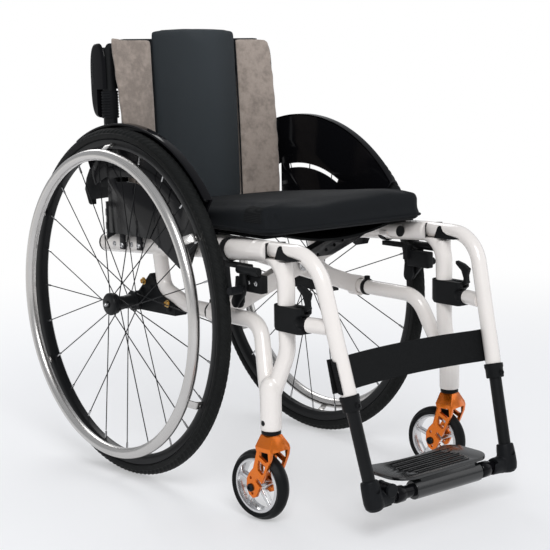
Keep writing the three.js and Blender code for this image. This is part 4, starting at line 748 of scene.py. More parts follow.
def from_frame(node, name):
    """A merged copy of a frame node, its flat faces whole again."""
    copy = bpy.data.objects.new(name, frame["nodes"][node].data.copy())
    bpy.context.collection.objects.link(copy)
    copy.data.materials.clear()
    wake(copy)
    return in_edit_mode(
        copy,
        lambda: bpy.ops.mesh.remove_doubles(threshold=0.00002),
        lambda: bpy.ops.mesh.dissolve_limited(angle_limit=math.radians(1)),
    )


def dress(obj, finish, body, slot, *nodes, angle=35):
    """Gives a piece its finish and body, and hides the nodes that it stands for; slot is not used.
    """
    obj.data.materials.clear()
    obj.data.materials.append(material(finish))
    smooth(obj, angle)
    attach(obj, body)
    if nodes:
        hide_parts(*nodes)
    return obj


def both(obj, stem, finish, body, slot, node=None, angle=35):
    """Dresses a left piece and its mirror image on the right."""
    right = mirror(obj, f"{stem}_right")
    obj.name = f"{stem}_left"
    for piece, (suffix, word) in ((obj, ("l", "left")), (right, ("r", "right"))):
        nodes = [f"{node}_{suffix}"] if node else []
        dress(piece, finish, body.format(side=word), slot, *nodes, angle=angle)
    return obj, right


# Side frames

FRAME_X = 172
TOP_REAR = (FRAME_X, 108, 391)
TOP_FRONT = (FRAME_X, -352, 420)
TOP_RADIUS = 17
LOW_RADIUS = 13
HOUSING = (197, -380)
HOUSING_RADIUS = 17
HANGER_PIVOT_Y = -381
HANGER_END = 24
HANGER_SEAT = 24.9
RAIL = (142, 419)
RAIL_RADIUS = 11
LEG_TOP = Vector((171, -461, 424))
LEG_FOOT = Vector((148, -552, 79))
FOOT_BAR = (-552, 64)
FOOT_HINGE = (118, 78)
BRAKE_PIN = (-292, 336)
BRAKE_STUD = (-315, 359)


def top_z(y):
    """Height of the sloping top tube's centre."""
    share = (y - TOP_REAR[1]) / (TOP_FRONT[1] - TOP_REAR[1])
    return TOP_REAR[2] + (TOP_FRONT[2] - TOP_REAR[2]) * share


def leg_at(z):
    """A place on the straight leg of the footrest hanger, by height."""
    return tuple(LEG_TOP.lerp(LEG_FOOT, (LEG_TOP.z - z) / (LEG_TOP.z - LEG_FOOT.z)))


def low_route():
    return rounded(
        [
            (FRAME_X, -53, top_z(-53)),
            (FRAME_X, -67, 328, 26),
            (FRAME_X, -140, 306, 60),
            (FRAME_X, -327, 306, 42),
            (HOUSING[0], -374, 190),
        ]
    )


class WHEELCHAIR_OT_side_frames(bpy.types.Operator):
    """Welded side frames: top tube, bent low tube, curved front tube and caster housing"""

    bl_idname = "wheelchair.side_frames"
    bl_label = "Side frames"

    def execute(self, context):
        top = rod("top", TOP_REAR, TOP_FRONT, TOP_RADIUS)
        low = tube("low", low_route(), LOW_RADIUS)
        corners = [(FRAME_X, -318, 420), (FRAME_X, -391, 418, 50), (FRAME_X, -391, 336)]
        neck_run = rounded(corners, 14)
        last = len(neck_run) - 1
        neck = tube("neck", neck_run, [16 - 2.4 * i / last for i in range(last + 1)])
        front = tube(
            "front",
            rounded([(FRAME_X, -388, 408), (FRAME_X, -392, 268, 60), (HOUSING[0], -380, 194)], 14),
            13.2,
        )
        housing = tube(
            "housing",
            [(*HOUSING, z) for z in (148, 150, 210, 222, 230)],
            [HOUSING_RADIUS - 1, HOUSING_RADIUS, HOUSING_RADIUS, 15, 9],
        )
        saddles = [self.saddle(y) for y in (-110, -288)]
        shell = melt(
            joined("side_frame", top, low, neck, front, housing, *saddles),
            looks("frame_looks").weld_voxel / MM,
            8,
        )
        seat_top = TOP_FRONT[2] + TOP_RADIUS + 8
        pivot = (FRAME_X, HANGER_PIVOT_Y)
        plug = (HOUSING[0] + HOUSING_RADIUS, HOUSING[1], 161)
        rooms = (
            ("seat", (*pivot, 411), (*pivot, seat_top), HANGER_SEAT, 48),
            ("rail_room", (RAIL[0], -330, RAIL[1]), (RAIL[0], 60, RAIL[1]), RAIL_RADIUS + 0.5, 32),
            ("pin_room", (*pivot, 350), (*pivot, 410), 5.5, 24),
            ("stem_room", (*HOUSING, 140), (*HOUSING, 218), 6.5, 24),
            ("plug_room", (plug[0] - 2.5, *plug[1:]), (plug[0] + 4, *plug[1:]), 4.6, 24),
        )
        for room in rooms:
            carve(shell, rod(*room))
        both(shell, "side_frame", "white_paint", "{side}_side", "white_frame", "side_frame", 40)
        cap = spun(
            "plug",
            [(0, 0), (0, 4.2), (1.6, 4.2), (2.6, 3.2), (2.6, 0)],
            (plug[0] - 2.4, *plug[1:]),
            steps=24,
        )
        both(cap, "housing_plug", "cast_black", "{side}_side", "black_cast")
        self.tube_plug()
        self.clips()
        return {"FINISHED"}

    def saddle(self, y):
        """Open saddle on the top tube, in which the seat rail rests."""
        outer = 14.3
        outline = [
            (RAIL[0], RAIL[1] - outer),
            (FRAME_X - 9, top_z(y) - 6),
            (FRAME_X, top_z(y)),
            (RAIL[0] + outer, RAIL[1]),
            (RAIL[0] - outer, RAIL[1]),
            (RAIL[0] - outer, RAIL[1] - outer / 2),
        ]
        return slab("saddle", outline, "y", y - 8, y + 8)

    def tube_plug(self):
        """Ribbed end plug in the rear of the top tube."""
        along = (Vector(TOP_REAR) - Vector(TOP_FRONT)).normalized()
        start = Vector(TOP_REAR) - along * 1.0
        run = [tuple(start + along * d) for d in (0, 4.5, 6.5, 7.2)]
        plug = tube("end_plug", run, [16.6, 16.6, 14.5, 8])
        both(plug, "tube_plug", "cast_black", "{side}_side", "black_cast")

    def clips(self):
        """Cable clip ring on the low tube, and the screws along the top tube."""
        ring_run = [(FRAME_X, y, 306) for y in (-206, -205, -199, -198)]
        ring = tube("clip", ring_run, [14.2, 14.9, 14.9, 14.2])
        tongue = brick("tongue", (FRAME_X - 4, -206, 319), (FRAME_X + 4, -198, 326), 1.2)
        clip = joined("cable_clip", ring, tongue)
        both(clip, "cable_clip", "cast_black", "{side}_side", "black_cast")
        section = [(0, 0), (0, 4.6), (1.4, 4.2), (2.2, 2.6), (1.0, 2.4), (1.0, 0)]
        places = [(FRAME_X + TOP_RADIUS - 0.4, y, top_z(y)) for y in (60, 6, -80)]
        screws = heads("screws", section, places, 20)
        both(screws, "frame_screws", "bright_steel", "{side}_side", "bare_steel")


class WHEELCHAIR_OT_brackets(bpy.types.Operator):
    """Axle brackets, brakes and post feet, with their edges broken as castings have"""

    bl_idname = "wheelchair.brackets"
    bl_label = "Brackets and brakes"

    def execute(self, context):
        pieces = (
            ("axle_bracket", "cast_black", "{side}_side", "black_cast", 1.4),
            ("cane_foot", "cast_black", "{side}_side", "black_cast", 0.9),
        )
        for node, finish, body, slot, width in pieces:
            both(bevel(from_frame(f"{node}_l", node), width), node, finish, body, slot, node)
        self.brakes()
        button = spun(
            "button",
            [(-24, 0), (-24, 3.1), (4, 3.1), (5.4, 2.2), (6, 0)],
            (246, 0, WHEEL_Z),
            steps=28,
        )
        node = "axle_button"
        both(button, "release_button", "bright_steel", "axle_button_{side}", "bare_steel", node)
        self.hardware()
        return {"FINISHED"}

    def brakes(self):
        """Clamp band with its block, and the lever with grip and shoe arm."""
        band = rod("band", (FRAME_X, -259, top_z(-259)), (FRAME_X, -247, top_z(-247)), 18.9, 48)
        ends = [(FRAME_X, y, top_z(y)) for y in (-270, -236)]
        carve(band, rod("tube_room", *ends, 17.2, 48))
        strip = brick("strip", (166, -304, 386), (178, -246, 394), 1.4)
        block = brick("block", (174, -350, 354), (188.5, -300, 382), 2.4)
        web = brick("web", (168, -306, 366), (180, -296, 392), 1.2)
        outline = [(-306, 376), (-304, 336), *arc(*BRAKE_PIN, 10.5, -170, 10, 10), (-286, 376)]
        plate = slab("plate", outline, "x", 184, 188.5)
        clamp = joined("clamp", band, strip, block, web, bevel(plate, 0.6, 2))
        both(clamp, "brake_clamp", "cast_black", "{side}_side", "black_cast", "brake_clamp")
        section = [(0, 0), (0, 4), (1.2, 4), (2, 2.6), (1, 2.2), (1, 0)]
        places = [(188.4, y, z) for y, z in ((-320, 369.5), (-338, 369.5), BRAKE_PIN)]
        bolts = heads("bolts", section, places, 20)
        both(bolts, "brake_bolts", "bright_steel", "{side}_side", "bare_steel")
        outline = arc(*BRAKE_PIN, 9, 200, 380, 12) + [(-291, 352), (-303, 372), (-306, 391)]
        outline += [(-318, 391), (-322, 366), (-316, 350), (-303, 336)]
        arm = bevel(slab("arm", outline, "x", 191, 195.6), 0.9, 3)
        grip_run = [(193.4, y, 389.4) for y in (-300, -301.5, -350, -352)]
        grip = tube("grip", grip_run, [5.4, 7, 7, 5.6])
        post = rod("post", (190.5, *BRAKE_STUD), (207, *BRAKE_STUD), 4, 24)
        lever = joined("lever", arm, grip, post)
        both(lever, "brake_lever", "black_paint", "brake_{side}", "black_metal", "brake_lever")

    def hardware(self):
        """Adjusting screws beside the axle bracket, and the pads of the brake levers."""
        section = [(0, 0), (0, 6.2), (1.2, 6.4), (1.2, 4.6), (5, 4.2)]
        section += [(5.6, 3.2), (3.2, 2.4), (3.2, 0)]
        places = [(FRAME_X + 16.2, y, z) for y, z in ((-28, 338), (-97, 307))]
        screws = heads("adjusters", section, places, 24)
        both(screws, "axle_adjusters", "gold_steel", "{side}_side", "bare_steel")
        pad = tube("pad", [(x, *BRAKE_STUD) for x in (200, 201, 223, 224)], [5.6, 6.6, 6.6, 5.6])
        both(pad, "brake_shoe", "soft_rubber", "brake_{side}", "elbow_rubber")


# Rear wheels


class WHEELCHAIR_OT_rear_wheels(bpy.types.Operator):
    """Rear wheels: tyre, rim, laced spokes, hub and handrim"""

    bl_idname = "wheelchair.rear_wheels"
    bl_label = "Rear wheels"

    def execute(self, context):
        centre = (WHEEL_X, 0, WHEEL_Z)
        body = "wheel_{side}"
        section = [(-9.5, 281.2), (9.5, 281.2), (11.2, 282.8), (12.4, 286.5), (12.2, 290.5)]
        crown = arc(0, 288.6, 11.4, 18, 162, 14)
        section += crown + [(-12.2, 290.5), (-12.4, 286.5), (-11.2, 282.8)]
        tyre = self.treaded(spun("rear_tyre", section, centre, steps=4 * TREAD_GROOVES), centre)
        both(tyre, "rear_tyre", "tyre_rubber", body, "tyre_rubber", "rear_tyre", 28)
        rim_section = [(-5.5, 264.6), (0, 263.8), (5.5, 264.6), (8.8, 268), (10, 272), (10, 280)]
        rim_section += [(9.2, 280.9), (-9.2, 280.9), (-10, 280), (-10, 272), (-8.8, 268)]
        rim = spun("rear_rim", rim_section, centre)
        both(rim, "rear_rim", "black_paint", body, "black_metal", "rear_rim", 30)
        self.handrim(centre, body)
        self.hub(centre, body)
        return {"FINISHED"}

    def treaded(self, tyre, centre):
        """Sinks slanted grooves into the crown, the sidewalls left smooth."""
        middle = spot(*centre)
        tread_from, half_centre_line = 291.5 * MM, 1
        groove, block, centre_line = 1.1, 0.2, 0.9
        for vertex in tyre.data.vertices:
            off = vertex.co - middle
            radius = math.hypot(off.y, off.z)
            across = off.x / MM
            if radius < tread_from:
                continue
            phase = math.atan2(off.z, off.y) * TREAD_GROOVES + abs(across) * 0.7
            if abs(across) > half_centre_line:
                sunk = groove if math.sin(phase) < -0.1 else block
            else:
                sunk = centre_line
            scale = 1 - sunk * MM / radius
            vertex.co = middle + Vector((off.x, off.y * scale, off.z * scale))
        tyre.data.update()
        return tyre

    def handrim(self, centre, body):
        """Round ring on six bent tabs, each with its screw."""
        offset = 35
        ring = spun("ring", oval(offset, 256, 9.4, 9.4, 24), centre)
        bent = rounded([(10.6, 272, 0, 0), (20, 271, 0, 12), (offset - 2, 260, 0, 0)], 5)
        outline = [(a, b + 1.6) for a, b, _ in bent]
        outline += [(a, b - 1.6) for a, b, _ in reversed(bent)]
        tab = slab("tab", [(centre[0] + a, centre[2] + b) for a, b in outline], "y", -7, 7)
        bevel(tab, 0.6, 2)
        place = (centre[0] + 12.4, 0, centre[2] + 271)
        screw = spun("screw", [(0, 0), (0, 3.4), (1.6, 3), (1.6, 0)], place, steps=16)
        tabs = turned_copies("tabs", joined("tab", tab, screw), centre, "X", 6)
        rim = joined("handrim", ring, tabs)
        both(rim, "handrim", "satin_silver", body, "silver_tube", "handrim")

    def hub(self, centre, body):
        """Flanged hub with its spokes laced to the rim, and their nipples."""
        inner, outer = -26, 31
        shell = [
            (inner, 6.6),
            (inner, 12),
            (inner + 1.5, 13.5),
            (inner + 4, 17.6),
            (inner + 6.5, 17.6),
            (inner + 8.5, 12.6),
            (0, 11.2),
            (outer - 17, 12.6),
            (outer - 15.5, 17.6),
            (outer - 11.5, 17.6),
            (outer - 10, 19),
            (outer - 3.5, 19.3),
            (outer - 1, 17.5),
            (outer, 14),
            (outer, 6.6),
        ]
        hub = spun("hub", shell, centre, steps=48)
        count = looks("wheel_looks").spokes
        lace = math.radians(62)
        hole, rim, splay = 15, 263.6, 1.6
        wires, nipples = [], []
        for i in range(count):
            lean = 1 if (i // 2) % 2 else -1
            angle = 2 * math.pi * i / count
            turn = angle + lean * lace
            x = centre[0] + (inner + 5.2 if i % 2 == 0 else outer - 13.5) + lean * splay
            start = (x, hole * math.cos(turn), centre[2] + hole * math.sin(turn))
            x = centre[0] + lean * splay
            end = (x, rim * math.cos(angle), centre[2] + rim * math.sin(angle))
            wires.append(rod("wire", start, end, 0.95, 8))
            foot = Vector(end).lerp(Vector(start), 0.055)
            nipples.append(rod("nipple", end, tuple(foot), 1.9, 8))
        spokes = joined("spokes", hub, *wires)
        both(spokes, "rear_hub", "black_paint", body, "black_metal", "rear_hub")
        both(joined("nipples", *nipples), "spoke_nipples", "bright_steel", body, "bare_steel")


# Casters

CASTER_RADIUS = 56
CASTER_TRAIL = 25
FORK_INSIDE, FORK_OUTSIDE = 16.6, 22.2
CASTER_TURN = {"r": math.radians(8), "l": math.radians(12)}


class WHEELCHAIR_OT_casters(bpy.types.Operator):
    """Swivel casters: machined forks, polished five-spoke rims and solid tyres"""

    bl_idname = "wheelchair.casters"
    bl_label = "Casters"

    def execute(self, context):
        hub = (0, CASTER_TRAIL, CASTER_RADIUS)
        tyre_section = [(-9.4, 44.2), (9.4, 44.2), (11.6, 46), (13, 49.5)]
        tyre_section += arc(0, 44.6, 11.4, 40, 140, 10) + [(-13, 49.5), (-11.6, 46)]
        tyre = spun("tyre", tyre_section, hub, steps=96)
        rim_section = [(-11, 39.4), (-6, 38), (0, 37.4), (6, 38), (11, 39.4)]
        rim_section += [(11, 42.6), (10.2, 43.8), (-10.2, 43.8), (-11, 42.6)]
        ring = spun("ring", rim_section, hub, steps=96)
        cap_section = [(-15, 4.6), (-15, 8.6), (-13, 10), (-6, 9.4), (0, 11)]
        cap_section += [(6, 9.4), (13, 10), (15, 8.6), (15, 4.6)]
        cap = spun("cap", cap_section, hub, steps=48)
        spoke_outline = [(-4.6, 8), (4.6, 8), (3.4, 20), (2.9, 30)]
        spoke_outline += [(3.4, 38.6), (-3.4, 38.6), (-2.9, 30), (-3.4, 20)]
        spoke_place = [(hub[1] + a, hub[2] + b) for a, b in spoke_outline]
        spoke = slab("spoke", spoke_place, "x", -5.2, 5.2)
        bevel(spoke, 1.3, 3)
        rim = joined("rim", ring, cap, turned_copies("spokes", spoke, hub, "X", 5))
        head = [(0, 0), (0, 6.4), (1.8, 6.4), (3, 5.2), (3, 3.2), (1.4, 3.0), (1.4, 0)]
        ends = []
        for side in (-1, 1):
            section = [(side * a, b) for a, b in head]
            ends.append(spun("head", section, (side * FORK_OUTSIDE, *hub[1:]), steps=28))
        shaft = rod("shaft", (-22, *hub[1:]), (22, *hub[1:]), 3.9, 20)
        bolt = joined("bolt", shaft, *ends)
        fork = self.fork()
        wheel = (
            (tyre, "caster_tyre", "caster_rubber", "caster", "tyre_rubber"),
            (rim, "caster_rim", "polished_alloy", "caster", "polished_alloy"),
            (bolt, "caster_axle", "black_paint", "fork", "black_metal"),
            (fork, "caster_fork", "orange_anodised", "fork", "orange_alloy"),
        )
        for suffix, word, side in SIDES:
            place = Matrix.Translation((side * HOUSING[0] * MM, HOUSING[1] * MM, 0))
            turn = Matrix.Rotation(CASTER_TURN[suffix], 4, "Z")
            axle_line = Matrix.Translation((0, AXLE_Y, 0))
            move = axle_line @ place @ turn @ axle_line.inverted()
            for source, node, finish, carrier, slot in wheel:
                copy = source.copy()
                copy.data = source.data.copy()
                context.collection.objects.link(copy)
                copy.name = f"{node}_{word}"
                dress(moved(copy, move), finish, f"{carrier}_{word}", slot, f"{node}_{suffix}")
            seal_run = [(0, 0, z) for z in (141.4, 142.4, 146.8, 147.9)]
            seal = tube("seal", seal_run, [13.6, 15.4, 15.4, 14.4])
            seal.name = f"stem_seal_{word}"
            dress(moved(seal, move), "soft_rubber", f"fork_{word}", "elbow_rubber")
        for source in (tyre, rim, bolt, fork):
            bpy.data.objects.remove(source)
        return {"FINISHED"}

    def fork(self):
        """Machined fork about the swivel axis: facetted crown, pierced legs, toe holes."""
        bpy.ops.mesh.primitive_cube_add(size=2)
        crown = named("crown")
        corners = [(-11, -12, 141), (11, -12, 141), (11, 12, 141), (-11, 12, 141)]
        shoulder = ((-17, 124), (14, 124), (-18, 117), (12, 117))
        corners += [(side * 22, y, z) for side in (-1, 1) for y, z in shoulder]
        corners += [(0, -21, 117.5), (-16, -20, 117), (16, -20, 117)]
        in_edit_mode(crown, lambda: bpy.ops.mesh.subdivide(number_cuts=1))
        for i, vertex in enumerate(crown.data.vertices):
            vertex.co = spot(*corners[i % len(corners)])
        in_edit_mode(crown, lambda: bpy.ops.mesh.convex_hull())
        outline = [(9, 123), (19.5, 88), (27, 80), (33, 70), (33.5, 56), (29, 45), (21, 40)]
        outline += [(14, 42.5), (8, 55), (0, 70), (-10, 90), (-17.5, 108), (-19, 118), (-17, 124)]
        windows = (
            [(6, 117), (-12.5, 117), (-13.5, 104), (-8, 101.5), (6, 109)],
            [(7.5, 103), (-6.5, 95.5), (-2, 82), (1, 80.5), (9, 86.5), (9.5, 95)],
            arc(10.5, 69, 3.6, -60, 120, 8) + arc(4.5, 64, 3.6, 120, 300, 8),
        )
        for side in (-1, 1):
            low, high = sorted((side * FORK_INSIDE, side * FORK_OUTSIDE))
            leg = slab("leg", outline, "x", low, high)
            for window in windows:
                carve(leg, slab("window", window, "x", low - 5, high + 5))
            for y, z in ((24.5, 72), (21.5, 47.5)):
                carve(leg, rod("hole", (low - 5, y, z), (high + 5, y, z), 2.5, 20))
            axle = (CASTER_TRAIL, CASTER_RADIUS)
            carve(leg, rod("bolt_room", (low - 5, *axle), (high + 5, *axle), 4.3, 24))
            carve(crown, leg, "UNION")
        bevel(crown, 0.8, 3, 24)
        return joined("fork", crown, rod("stem", (0, 0, 139), (0, 0, 206), 6, 24))


# Cross brace and seat rails


class WHEELCHAIR_OT_cross_brace(bpy.types.Operator):
    """Cross arms with their row of holes, the bolt and the two seat rails"""

    bl_idname = "wheelchair.cross_brace"
    bl_label = "Cross brace"

    def execute(self, context):
        arms = (("cross_arm_a", "brace_front"), ("cross_arm_b", "brace_rear"))
        for node, body in arms:
            arm = bevel(from_frame(node, node), 1.6, 3)
            dress(arm, "brace_paint", body, "white_frame", node)
        bolt = bevel(from_frame("cross_bolt", "cross_bolt"), 0.8, 2)
        dress(bolt, "bright_steel", "brace_front", "bare_steel", "cross_bolt")
        for suffix, body, side in (("r", "brace_rear", -1), ("l", "brace_front", 1)):
            x = side * RAIL[0]
            rail = tube(
                "rail",
                [(x, y, RAIL[1]) for y in (-316, -314.5, 51, 52)],
                [10, RAIL_RADIUS, RAIL_RADIUS, 10.5],
            )
            carve(rail, rod("bore", (x, -8, RAIL[1]), (x, 60, RAIL[1]), 8.6, 24))
            rail.name = f"seat_rail_{suffix}"
            dress(rail, "white_paint", body, "white_frame", f"seat_rail_{suffix}")
            plug = spun(
                "plug",
                [(0, 0), (0, 9.6), (-1.5, 9.6), (-2.6, 8), (-3, 4), (-3, 0)],
                (x, -316.2, RAIL[1]),
                axis="y",
                steps=28,
            )
            plug.name = f"rail_plug_{suffix}"
            dress(plug, "cast_black", body, "black_cast")
        return {"FINISHED"}


# Footrest


class WHEELCHAIR_OT_hangers(bpy.types.Operator):
    """Swing-away hangers with their pivots, latches, posts and elbows"""

    bl_idname = "wheelchair.hangers"
    bl_label = "Hangers"

    def execute(self, context):
        body = "hanger_{side}"
        run = rounded([(FRAME_X, HANGER_PIVOT_Y + 30, 424), (*LEG_TOP, 62), leg_at(216)], 16)
        pipe = tube("pipe", run, 12.5)
        kept = arc(FRAME_X, HANGER_PIVOT_Y, HANGER_END - 0.4, 0, 180, 24)
        kept += [(FRAME_X - 60, HANGER_PIVOT_Y), (FRAME_X - 60, -700)]
        kept += [(FRAME_X + 60, -700), (FRAME_X + 60, HANGER_PIVOT_Y)]
        carve(pipe, slab("keep", kept, "z", 60, 520), "INTERSECT")
        leg = leg_at(318)
        stub = rod("stub", (FRAME_X, HANGER_PIVOT_Y - 62, 318), (leg[0], leg[1] + 9, 318), 12, 28)
        hanger = joined("hanger", pipe, stub)
        both(hanger, "hanger", "white_paint", body, "white_frame", "hanger", 40)
        self.wedge(body)
        collar = tube(
            "collar",
            [leg_at(z) for z in (197.5, 199, 212, 214, 219, 220)],
            [13.6, 14.6, 14.6, 15.6, 15.6, 14.6],
        )
        x, y, z = leg_at(208)
        section = [(0, 0), (0, 4.4), (-3, 4.2), (-3.6, 3), (-2, 2.4), (-2, 0)]
        head = spun("bolt", section, (x, y - 14, z), axis="y", steps=24)
        collar = joined("collar", collar, head)
        both(collar, "hanger_collar", "cast_black", body, "black_cast", "hanger_collar")
        post = rod("post", leg_at(290), leg_at(82), 10, 28)
        both(post, "hanger_post", "black_paint", "post_{side}", "black_metal", "hanger_post")
        for suffix, word, side in SIDES:
            self.elbow(suffix, word, side)
        self.latches()
        return {"FINISHED"}

    def elbow(self, suffix, word, side):
        """Rubber elbow: a fat bulb on the post with an arm that holds the foot bar."""
        x, (y, z) = side * 148, FOOT_BAR
        lean = (LEG_FOOT - LEG_TOP) / (LEG_FOOT.z - LEG_TOP.z)
        profile = [(95, 12.4), (93.6, 13.8), (86, 14.8), (74, 15.6)]
        profile += [(64, 15.8), (56, 14.4), (51.5, 10), (50, 5)]
        run = [(x + side * lean.x * (h - 79), y + lean.y * (h - 79), h) for h, _ in profile]
        bulb = tube("bulb", run, [r for _, r in profile])
        arm_run = [(x - side * d, y, z) for d in (0, 14, 18, 36, 38)]
        arm = tube("arm", arm_run, [15, 14.6, 13.8, 13, 12])
        hinged = suffix == "r"
        if hinged:
            hinge_x, hinge_z = side * FOOT_HINGE[0], FOOT_HINGE[1]
            ends = [(hinge_x, y + reach, hinge_z) for reach in (-14.8, 14.8)]
            arm = joined("arm", arm, rod("hinge", *ends, 10.6, 32))
        form = melt(joined("elbow", bulb, arm), 1.3, 5)
        carve(form, rod("bolt_room", (x, y - 30, 84), (x, y - 12.6, 84), 4.6, 24))
        bar_room = 10.6
        low, reach = (53, 128.6) if hinged else (z, 118.6)
        inner, outer = sorted((side * 90, side * reach))
        carve(form, brick("bar_room", (inner, y - bar_room, low), (outer, y + bar_room, 100)))
        if not hinged:
            carve(form, rod("tip_room", (side * 90, y, z), (side * reach, y, z), bar_room, 32))
        bore = [(side * leg_at(h)[0], *leg_at(h)[1:]) for h in (81.5, 300)]
        carve(form, tube("post_room", bore, 10.2, 28))
        form.name = f"foot_elbow_{word}"
        node = f"foot_elbow_{suffix}"
        dress(form, "soft_rubber", f"post_{word}", "elbow_rubber", node, angle=50)

    def wedge(self, body):
        """Black bearing under the hanger's rear end, tapering forwards, and the liner behind it."""
        outline = [(-379, 411.6), (-409, 411.6), (-424, 412.4), (-440, 415), (-424, 416.5)]
        outline += [(-409, 419), (-400, 424), (-394.5, 430.5)]
        outline += [(-390.5, 433), (-387, 430), (-383.5, 422)]
        pad = bevel(slab("wedge", outline, "x", FRAME_X - 13.1, FRAME_X + 13.1), 0.7, 3)
        both(pad, "pivot_bearing", "cast_black", body, "black_cast")
        bow = arc(FRAME_X, HANGER_PIVOT_Y, HANGER_SEAT - 0.05, 35, 145, 24)
        bow += arc(FRAME_X, HANGER_PIVOT_Y, 24.2, 145, 35, 24)
        liner = slab("liner", bow, "z", 411.3, 434.5)
        both(liner, "pivot_liner", "cast_black", "{side}_side", "black_cast")

    def latches(self):
        """Housings slimmed about the frame's tube, and the hooked fins that release them."""
        node = "latch_housing"
        housing = melt(from_frame("latch_housing_l", node), 1.1, 14)
        narrower, lower = 0.8, 0.86
        for vertex in housing.data.vertices:
            vertex.co.x = FRAME_X * MM + (vertex.co.x - FRAME_X * MM) * narrower
            vertex.co.z = 342 * MM + (vertex.co.z - 341 * MM) * lower
        both(housing, node, "cast_black", "{side}_side", "black_cast", node, 50)
        outline = [(-420, 376.5), (-420.4, 371), (-433, 361), (-438, 349), (-437, 341)]
        outline += [(-427, 338.5), (-415, 337.3), (-412.8, 333), (-412.8, 329), (-416, 325.4)]
        outline += [(-423, 327), (-431, 334), (-441, 338.5), (-447, 342), (-445, 346)]
        outline += [(-444.5, 354), (-448.5, 365.5), (-436, 372.5)]
        fin = bevel(slab("fin", outline, "x", FRAME_X - 4.5, FRAME_X + 4.5), 1.4, 4)
        both(fin, "latch_lever", "cast_black", "latch_{side}", "black_cast", "latch_lever")


class WHEELCHAIR_OT_foot_rest(bpy.types.Operator):
    """Foot bar and the ribbed oval footplate that turns on it"""

    bl_idname = "wheelchair.foot_rest"
    bl_label = "Foot rest"

    def execute(self, context):
        y, z = FOOT_BAR
        bar = tube("bar", [(x, y, z) for x in (-104, 116, 117)], [10, 10, 9])
        collars = []
        for side in (-1, 1):
            run = [(side * x, y, z) for x in (102.5, 101, 86, 84.5)]
            collars.append(tube("collar", run, [11.6, 12.9, 12.9, 11.6]))
        hinge_x, hinge_z = -FOOT_HINGE[0], FOOT_HINGE[1]
        ends = [(hinge_x, y + reach, hinge_z) for reach in (-9.8, 9.8)]
        knuckle = rod("knuckle", *ends, 9.8, 28)
        neck = rod("neck", (hinge_x, y, hinge_z), (-104, y, z), 9.6)
        tongue = melt(joined("tongue", knuckle, neck), 0.9, 4)
        ends = [(hinge_x, y + reach, hinge_z) for reach in (-30, 30)]
        carve(tongue, rod("pin_room", *ends, 4.5, 24))
        bar = joined("foot_bar", bar, *collars, tongue)
        dress(bar, "gloss_black", "foot_bar", "black_gloss", "foot_bar", angle=45)
        self.plate(y, z)
        return {"FINISHED"}

    def plate(self, bar_y, bar_z):
        """Slotted deck with low ribs, on a sleeve that turns about the bar."""
        middle, half, corner, rear_corner = 8, 102.5, 34, 26
        front, rear = -560, -468
        outline = arc(middle - half + corner, front + corner, corner, 180, 270, 14)
        outline += arc(middle + half - corner, front + corner, corner, 270, 360, 14)
        across, back = half - rear_corner, rear - rear_corner
        outline += arc(middle + across, back, rear_corner, 10, 80, 8)
        for i in range(2, 15):
            t = math.pi * i / 16
            outline.append((middle + (half - corner) * math.cos(t), rear - 11 * math.sin(t)))
        outline += arc(middle - half + rear_corner, back, rear_corner, 100, 170, 8)
        deck = slab("deck", outline, "z", 82, 87)
        slots = [front + 15 * (i + 1.2) for i in range(4)]
        for i, y in enumerate(slots):
            reach = 64 - abs(i - 1.5) * 7
            slot = arc(middle + reach, y, 3.5, -90, 90, 8) + arc(middle - reach, y, 3.5, 90, 270, 8)
            carve(deck, slab("slot", slot, "z", 70, 100))
        bevel(deck, 1.2, 3, 50)
        ribs = []
        for i in range(9):
            y = front + 11 + 7.5 * i
            if any(abs(y - slot) < 4.5 for slot in slots):
                continue
            reach = 66 - abs(i - 4) * 2.5
            low, high = (middle - reach, y - 1, 86), (middle + reach, y + 1, 88.8)
            ribs.append(brick("rib", low, high, 0.5, 2))
        sleeve_run = [(x, bar_y, bar_z) for x in (-64, -62.5, 78.5, 80)]
        sleeve = tube("sleeve", sleeve_run, [13.6, 15, 15, 13.6])
        web = slab(
            "web",
            [(bar_y - 12, bar_z + 4), (bar_y + 14, bar_z + 2), (bar_y + 26, 83), (bar_y - 6, 84)],
            "x",
            -52,
            68,
        )
        bevel(web, 1.5)
        body = joined("footplate", deck, sleeve, web, *ribs)
        dress(body, "plate_black", "foot_plate", "black_gloss", "footplate", angle=40)


# Back posts, handles and side guards


